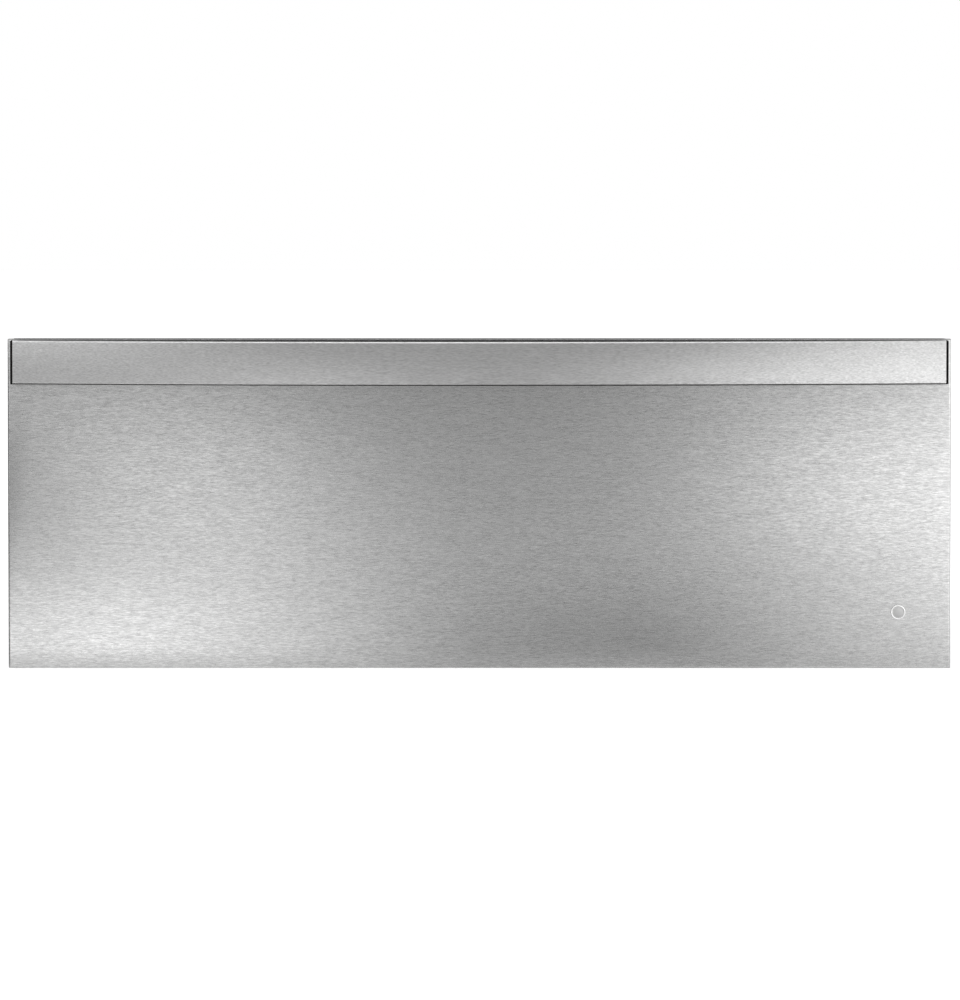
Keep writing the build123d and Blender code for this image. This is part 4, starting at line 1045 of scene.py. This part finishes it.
def makeScrews():
    size = screws
    short = makeScrew(size["length"])
    long = makeScrew(size["postLength"])
    sunk = makeSunkScrew()
    level = size["slideLevel"]
    onChassis, onDrawer = [], []
    for side in (-1, 1):
        for y, z in size["chassisPlaces"]:
            onChassis.append(drive(short, (side * size["chassisSide"], y, z), (side, 0, 0)))
        for y in size["sunkPlaces"]:
            onChassis.append(drive(sunk, (side * size["sunkSide"], y, level), (-side, 0, 0)))
        for y in size["railPlaces"]:
            onDrawer.append(drive(short, (side * size["railSide"], y, level), (side, 0, 0)))
        for x, y, z in size["frontPlaces"]:
            onDrawer.append(drive(short, (side * x, y, z), (0, 1, 0)))
        x, y, z = size["postPlace"]
        onDrawer.append(drive(long, (side * x, y, z), (0, 1, 0)))
    for pattern in (short, long, sunk):
        bpy.data.objects.remove(pattern)
    whole = joinPieces(onChassis, "chassisScrews")
    finishPiece(whole, "chassis", "chassis_screws", 40)
    whole = joinPieces(onDrawer, "drawerScrews")
    finishPiece(whole, "drawer", "drawer_screws", 40)


makeScrews()
print("screws made")


# rubber grommet in the back panel

grommet = {
    "centre": (-0.12, 0.574, -0.072),
    "bore": 0.0042,
    "neck": 0.0074,
    "flange": 0.0105,
    "length": 0.007,
    "groove": (0.003, 0.004),
    "edge": 0.0007,
    "steps": 48,
}


def makeGrommet():
    # its section, a plane with a groove, is spun round the bore
    size = grommet
    x, y, z = size["centre"]
    width = size["flange"] - size["bore"]
    middle = (x + size["bore"] + width / 2, y + size["length"] / 2, z)
    ring = startPlane("cordGrommet", middle, width, size["length"])
    startEdit(ring)
    near, far = (y + step for step in size["groove"])
    cutAcross((0, near, 0), (0, 1, 0))
    cutAcross((0, far, 0), (0, 1, 0))
    neck = x + size["neck"]
    cutAcross((neck, 0, 0), (1, 0, 0))
    pickFaces(ring, lambda centre, normal: centre.x > neck and near < centre.y < far)
    bpy.ops.mesh.delete(type="FACE")
    selectAll()
    bpy.ops.mesh.spin(steps=size["steps"], angle=math.tau, center=(x, y, z), axis=(0, 1, 0))
    mergeAll(0.000005)
    bpy.ops.mesh.delete_loose()
    endEdit()
    roundEdges(ring, size["edge"], 3, 50)
    finishPiece(ring, "chassis", "cord_grommet", 60)


makeGrommet()
print("grommet made")


# keys, each with a plain mark on its face

keys = {
    "face": -0.0042,
    "level": 0.1066,
    "power": 0.161,
    "heat": 0.205,
    "timer": 0.249,
    "edge": 0.0004,
    "mark": 0.0017,  # half the height of a mark
    "line": 0.00035,
    "proud": 0.00004,
    "bar": (0.0003, 0.0022),  # of the power mark, over its middle
    "waves": (-0.0013, 0, 0.0013),
    "waveOut": 0.0004,
    "hand": 0.0011,
    "shortHand": (-0.00017, 0.00017, 0.0004, 0.0009),  # low, high, aside and width
}


def ringMark(x, start, turn):
    # a flat arc round the middle of a key
    size = keys
    place = (x + size["mark"], size["face"] - size["proud"] / 2, size["level"])
    strip = startPlane("arc", place, size["line"], size["proud"] * 2)
    strip.data.transform(
        Matrix.Translation((x, 0, size["level"]))
        @ Matrix.Rotation(math.radians(start), 4, "Y")
        @ Matrix.Translation((-x, 0, -size["level"]))
    )
    startEdit(strip)
    centre = (x, size["face"], size["level"])
    bpy.ops.mesh.spin(steps=40, angle=math.radians(turn), center=centre, axis=(0, 1, 0))
    endEdit()
    return strip


def barMark(x, low, high, aside=0.0, width=keys["line"]):
    size = keys
    left, right = x + aside - width / 2, x + aside + width / 2
    return startBox(
        "bar",
        (left, size["face"] - size["proud"], size["level"] + low),
        (right, size["face"] + size["proud"], size["level"] + high),
    )


def waveMark(x, aside):
    # a short upright wave, as of rising heat
    half, level = keys["mark"], keys["level"]
    bar = barMark(x, -half, half, aside)
    startEdit(bar)
    for i in range(1, 16):
        cutAcross((0, 0, level - half + i * half / 8), (0, 0, 1))
    mesh = bmesh.from_edit_mesh(bar.data)
    for corner in mesh.verts:
        corner.co.x += keys["waveOut"] * math.sin((corner.co.z - level) / half * math.pi)
    bmesh.update_edit_mesh(bar.data)
    endEdit()
    return bar


def makeKeys():
    power, heat, timer = keys["power"], keys["heat"], keys["timer"]
    marks = {
        "power": [ringMark(power, -120, 300), barMark(power, *keys["bar"])],
        "heat": [waveMark(heat, aside) for aside in keys["waves"]],
        "timer": [
            ringMark(timer, 0, 360), barMark(timer, 0, keys["hand"]),
            barMark(timer, *keys["shortHand"]),
        ],
    }
    for name, drawn in marks.items():
        node = "key_" + name
        cap = mergedCopy(node, name + "Key", keys["edge"], 3, [darkPlastic])
        for piece in drawn:
            piece.data.materials.append(keyMark)
        whole = joinPieces([cap] + drawn, name + "Key")
        finishPiece(whole, node, node, 40)


makeKeys()
print("keys made")


# ball cages: the strip keeps its windows, and the balls are round

cages = {
    "ballRadius": 0.00238,
    "outer": {"x": 0.34182, "z": 0.01912, "start": 0.14},
    "inner": {"x": 0.336139, "z": 0.01584, "start": 0.15},
    "length": 0.2,
    "inRow": 3,
    "level": -0.02,
}


def makeCage(which, side, word):
    size, row = cages, cages[which]
    node = "ball_cage_" + which + "_" + word
    places = [
        Vector((side * row["x"], row["start"] + size["length"] * (i + 0.5) / size["inRow"],
                size["level"] + up * row["z"]))
        for i in range(size["inRow"])
        for up in (-1, 1)
    ]
    clear = size["ballRadius"] + 0.00003
    strip = mergedCopy(
        node, node, 0.0,
        keep=lambda place: min((place - middle).length for middle in places) > clear,
    )
    balls = [
        startFrom("ball", bpy.ops.mesh.primitive_ico_sphere_add,
                  subdivisions=3, radius=size["ballRadius"] - 0.00002, location=middle)
        for middle in places
    ]
    whole = joinPieces([strip] + balls, which + "Cage" + word.capitalize())
    finishPiece(whole, node, node, 40)


for which in ("outer", "inner"):
    makeCage(which, -1, "left")
    makeCage(which, 1, "right")
print("ball cages made")


# boards: each part in its own material

boards = {
    "face": 0.5392,
    "back": 0.5408,
    "slack": 0.0001,
    "materials": [circuitBoard, blackPlasticAndShade, galvanisedSheet, palePlastic, zincPlate],
    "solder": 4,  # places in the list of materials
    "connector": 3,
    # middle and half sizes along X and Z, and the place in the list
    "relay": (0.183, 0.02, 0.0145, 0.0065, 1),
    "capacitor": (0.215, 0.032, 0.0055, 0.0055, 1),
    "transformer": (0.255, 0.02, 0.0185, 0.0155, 2),
    "keyBoardFace": 0.00899,
}


def boardMaterial(centre):
    size = boards
    if centre.y < size["back"] + size["slack"]:
        return 0 if centre.y > size["face"] - size["slack"] else size["solder"]
    for part in ("relay", "capacitor", "transformer"):
        x, z, halfX, halfZ, index = size[part]
        if abs(centre.x - x) < halfX and abs(centre.z - z) < halfZ:
            return index
    return size["connector"]


def makeBoards():
    main = mergedCopy("control_board", "controlBoard", 0.0003, materials=boards["materials"])
    for face in main.data.polygons:
        face.material_index = boardMaterial(face.center)
    finishPiece(main, "chassis", "control_board")
    small = mergedCopy("key_board", "keyBoard", 0.0002, materials=[circuitBoard, blackPlasticAndShade])
    for face in small.data.polygons:
        face.material_index = 1 if face.center.y < boards["keyBoardFace"] else 0
    finishPiece(small, "chassis", "key_board")


makeBoards()
print("boards made")


# room, light and camera

white = (1, 1, 1, 1)
black = (0, 0, 0, 1)

studio = {
    "floorLevel": -0.1231,
    "floorReach": 30.0,
    "floorLift": 0.62,  # added for the camera and for shiny surfaces
    "worldLevel": 0.55,
    "lampPlace": (-0.3, 0.35, 1.8),
    "lampAim": (0, 0.25, 0),
    "lampSize": (1.3, 1.1),
    "lampWatts": 16.0,
    "cameraPlace": (0.00054, -6.0, 0.32168),
    "cameraAim": (0.00054, -0.0282, 0.01215),
    "cameraLens": 268.6,
    "stripReach": 1.6,
}


def seenBy(tree, *kinds):
    # 1 for the named kinds of ray and 0 for the others
    rays = addNode(tree, "LightPath", {})
    seen = rays[kinds[0]]
    for kind in kinds[1:]:
        seen = calculate(tree, "MAXIMUM", seen, rays[kind])
    return seen


def makeFloor():
    reach = studio["floorReach"]
    floor = startPlane("studioFloor", (0, 0, studio["floorLevel"]), reach, reach)
    material, tree, shader = newMaterial("paleFloor", {
        "Base Color": (*grey(0.8), 1), "Roughness": 0.9, "Specular IOR Level": 0.1,
        "Emission Color": white,
    })
    seen = seenBy(tree, "Is Camera Ray", "Is Glossy Ray")
    lift = calculate(tree, "MULTIPLY", seen, studio["floorLift"])
    fillInputs(shader, {"Emission Strength": lift})
    floor.data.materials.append(material)


def makeWorld():
    world = bpy.data.worlds.new("studioWorld")
    bpy.context.scene.world = world
    world.use_nodes = True
    tree = world.node_tree
    seen = seenBy(tree, "Is Camera Ray", "Is Glossy Ray", "Is Transmission Ray")
    level = spreadValue(tree, seen, studio["worldLevel"], 1.0)
    fillInputs(tree.nodes["Background"], {"Color": white, "Strength": level})


def standFacing(name, data, place, aim):
    thing = bpy.data.objects.new(name, data)
    bpy.context.collection.objects.link(thing)
    thing.location = place
    thing.rotation_euler = (Vector(aim) - Vector(place)).to_track_quat("-Z", "Y").to_euler()
    return thing


def makeSoftbox():
    data = bpy.data.lights.new("topBox", "AREA")
    data.shape = "RECTANGLE"
    data.size, data.size_y = studio["lampSize"]
    data.energy = studio["lampWatts"]
    lamp = standFacing("topBox", data, studio["lampPlace"], studio["lampAim"])
    lamp.visible_camera = False
    lamp.visible_glossy = False


def makeCamera():
    data = bpy.data.cameras.new("photoCamera")
    data.lens = studio["cameraLens"]
    data.clip_end = 100
    bpy.context.scene.camera = standFacing(
        "photoCamera", data, studio["cameraPlace"], studio["cameraAim"]
    )


def stageForShine(card, material):
    # only shiny surfaces see it
    card.data.materials.append(material)
    card.visible_camera = False
    card.visible_diffuse = False
    card.visible_shadow = False


reflectors = {
    # a strip stands before the object, or lies at a height over the floor: its place,
    # its two edges along Z or Y, and its levels along X
    "lowStrip": ("stands", -0.9, -0.122, 0.03,
                 [(-0.9, 0.4), (-0.5, 0.05), (-0.3, 1.5), (-0.1, 0.44), (0.15, 0.53), (0.4, 1.8)]),
    "middleStrip": ("stands", -0.9, 0.03, 0.2,
                    [(-0.9, 0.2), (-0.6, 1.0), (-0.3, 0.5), (0.1, 0.33), (0.5, 1.02), (0.9, 2.1)]),
    "highStrip": ("stands", -0.9, 0.2, 0.5,
                  [(-0.7, 1.15), (-0.35, 0.09), (0.0, 0.39), (0.3, 0.0), (0.45, 0.15),
                   (0.7, 1.2)]),
    "farMat": ("lies", 0.0005, -0.9, -0.45,
               [(-0.9, 0.77), (-0.3, 1.0), (0.0, 0.7), (0.3, 0.5), (0.6, 1.8)]),
    "nearMat": ("lies", 0.0005, -0.45, -0.09,
                [(-0.9, 0.4), (-0.3, 1.6), (0.0, 0.5), (0.15, 0.35), (0.5, 1.2), (1.0, 1.8)]),
    "darkMat": ("lies", 0.0005, -0.09, 0.03,
                [(-0.4, 0.98), (-0.2, 1.0), (0.0, 0.57), (0.2, 0.52), (0.4, 0.85)]),
    # just over the handle, for its top edge
    "crownStrip": ("lies", 0.37, -0.2, -0.1, [(-0.9, 1.9), (0.9, 1.9)]),
}


def makeReflector(name, stance, place, low, high, levels):
    reach, brightest = studio["stripReach"], max(level for x, level in levels)
    middle, width = (low + high) / 2, high - low
    if stance == "stands":
        strip = startPlane(name, (0, place, middle), 2 * reach, width, facingY)
    else:
        strip = startPlane(name, (0, middle, studio["floorLevel"] + place), 2 * reach, width)
    material, tree, shader = newMaterial(name + "Grade", {
        "Base Color": black, "Specular IOR Level": 0.0, "Emission Strength": brightest,
    })
    spot = addNode(tree, "TexCoord", {})["Object"]
    along = addNode(tree, "SeparateXYZ", {"Vector": spot})["X"]
    inputs = {"Value": along, "From Min": -reach, "From Max": reach}
    across = addNode(tree, "MapRange", inputs)["Result"]
    grade = tree.nodes.new("ShaderNodeValToRGB")
    stops = grade.color_ramp.elements
    while len(stops) < len(levels):
        stops.new(0.5)
    for stop, (x, level) in zip(stops, levels):
        stop.position = (x + reach) / (2 * reach)
        stop.color = (*grey(level / brightest), 1)
    fillInputs(grade, {"Fac": across})
    fillInputs(shader, {"Emission Color": grade.outputs["Color"]})
    stageForShine(strip, material)


shadeFlags = {
    # dark cards close to the edges, bowed as the handle is, that paint shade into what the steel
    # reflects: the dark line in the gap above the handle, the shadow line under it and the grey of
    # the front's top edge. Each long edge as Y, Z and how far its ends fall back, and the level
    "gapShadeFlag": ((-0.0306, 0.1455, 0.0), (-0.0306, 0.1345, 0.0), 0.0),
    "underShadowFlag": ((-0.0895, 0.1035, 0.036), (-0.0775, 0.1035, 0.036), 0.0),
    "topShadeFlag": ((-0.0045, 0.1415, 0.0), (-0.0045, 0.3, 0.0), 0.14),
}
# a dark card just left of the drawer front: it paints shade on the front's left edge
edgeShadeFlag = {"centre": (-0.3796, -0.02975, 0.0091), "tall": 0.264, "width": 0.0075}


def bowedFlag(name, first, second):
    half, parts = handle["halfLength"], 24
    flag = startPlane(name, (0, 0, 0), 2 * half, 1)
    startEdit(flag)
    for i in range(1, parts):
        cutAcross((2 * half * (i / parts - 0.5), 0, 0), (1, 0, 0))
    mesh = bmesh.from_edit_mesh(flag.data)
    for corner in mesh.verts:
        share = corner.co.y + 0.5
        y, z, fall = [a * (1 - share) + b * share for a, b in zip(first, second)]
        corner.co.y = y + fall * (corner.co.x / half) ** 2
        corner.co.z = z
    bmesh.update_edit_mesh(flag.data)
    endEdit()
    return flag


def darkenFlag(flag, level):
    # dark on its face and clear from behind; what shiny surfaces see of it is painted shade
    material, tree, shader = newMaterial(flag.name + "Black", {
        "Base Color": black, "Specular IOR Level": 0.0, "Emission Color": white,
        "Emission Strength": level,
    })
    behind = addNode(tree, "NewGeometry", {})["Backfacing"]
    fillInputs(shader, {"Alpha": calculate(tree, "SUBTRACT", 1.0, behind)})
    stageForShine(flag, material)


makeFloor()
makeWorld()
for name, settings in reflectors.items():
    makeReflector(name, *settings)
# the flags paint shade: the gap above the handle, the shadow line under it, the top edge
for name, (first, second, level) in shadeFlags.items():
    darkenFlag(bowedFlag(name, first, second), level)
# the card that paints shade on the front's left edge
sideShadeCard = startPlane(
    "edgeShadeFlag", edgeShadeFlag["centre"], edgeShadeFlag["tall"], edgeShadeFlag["width"], facingX
)
darkenFlag(sideShadeCard, 0.0)
makeSoftbox()
makeCamera()
bpy.context.scene.view_settings.view_transform = "Standard"
print("room, light and camera set")
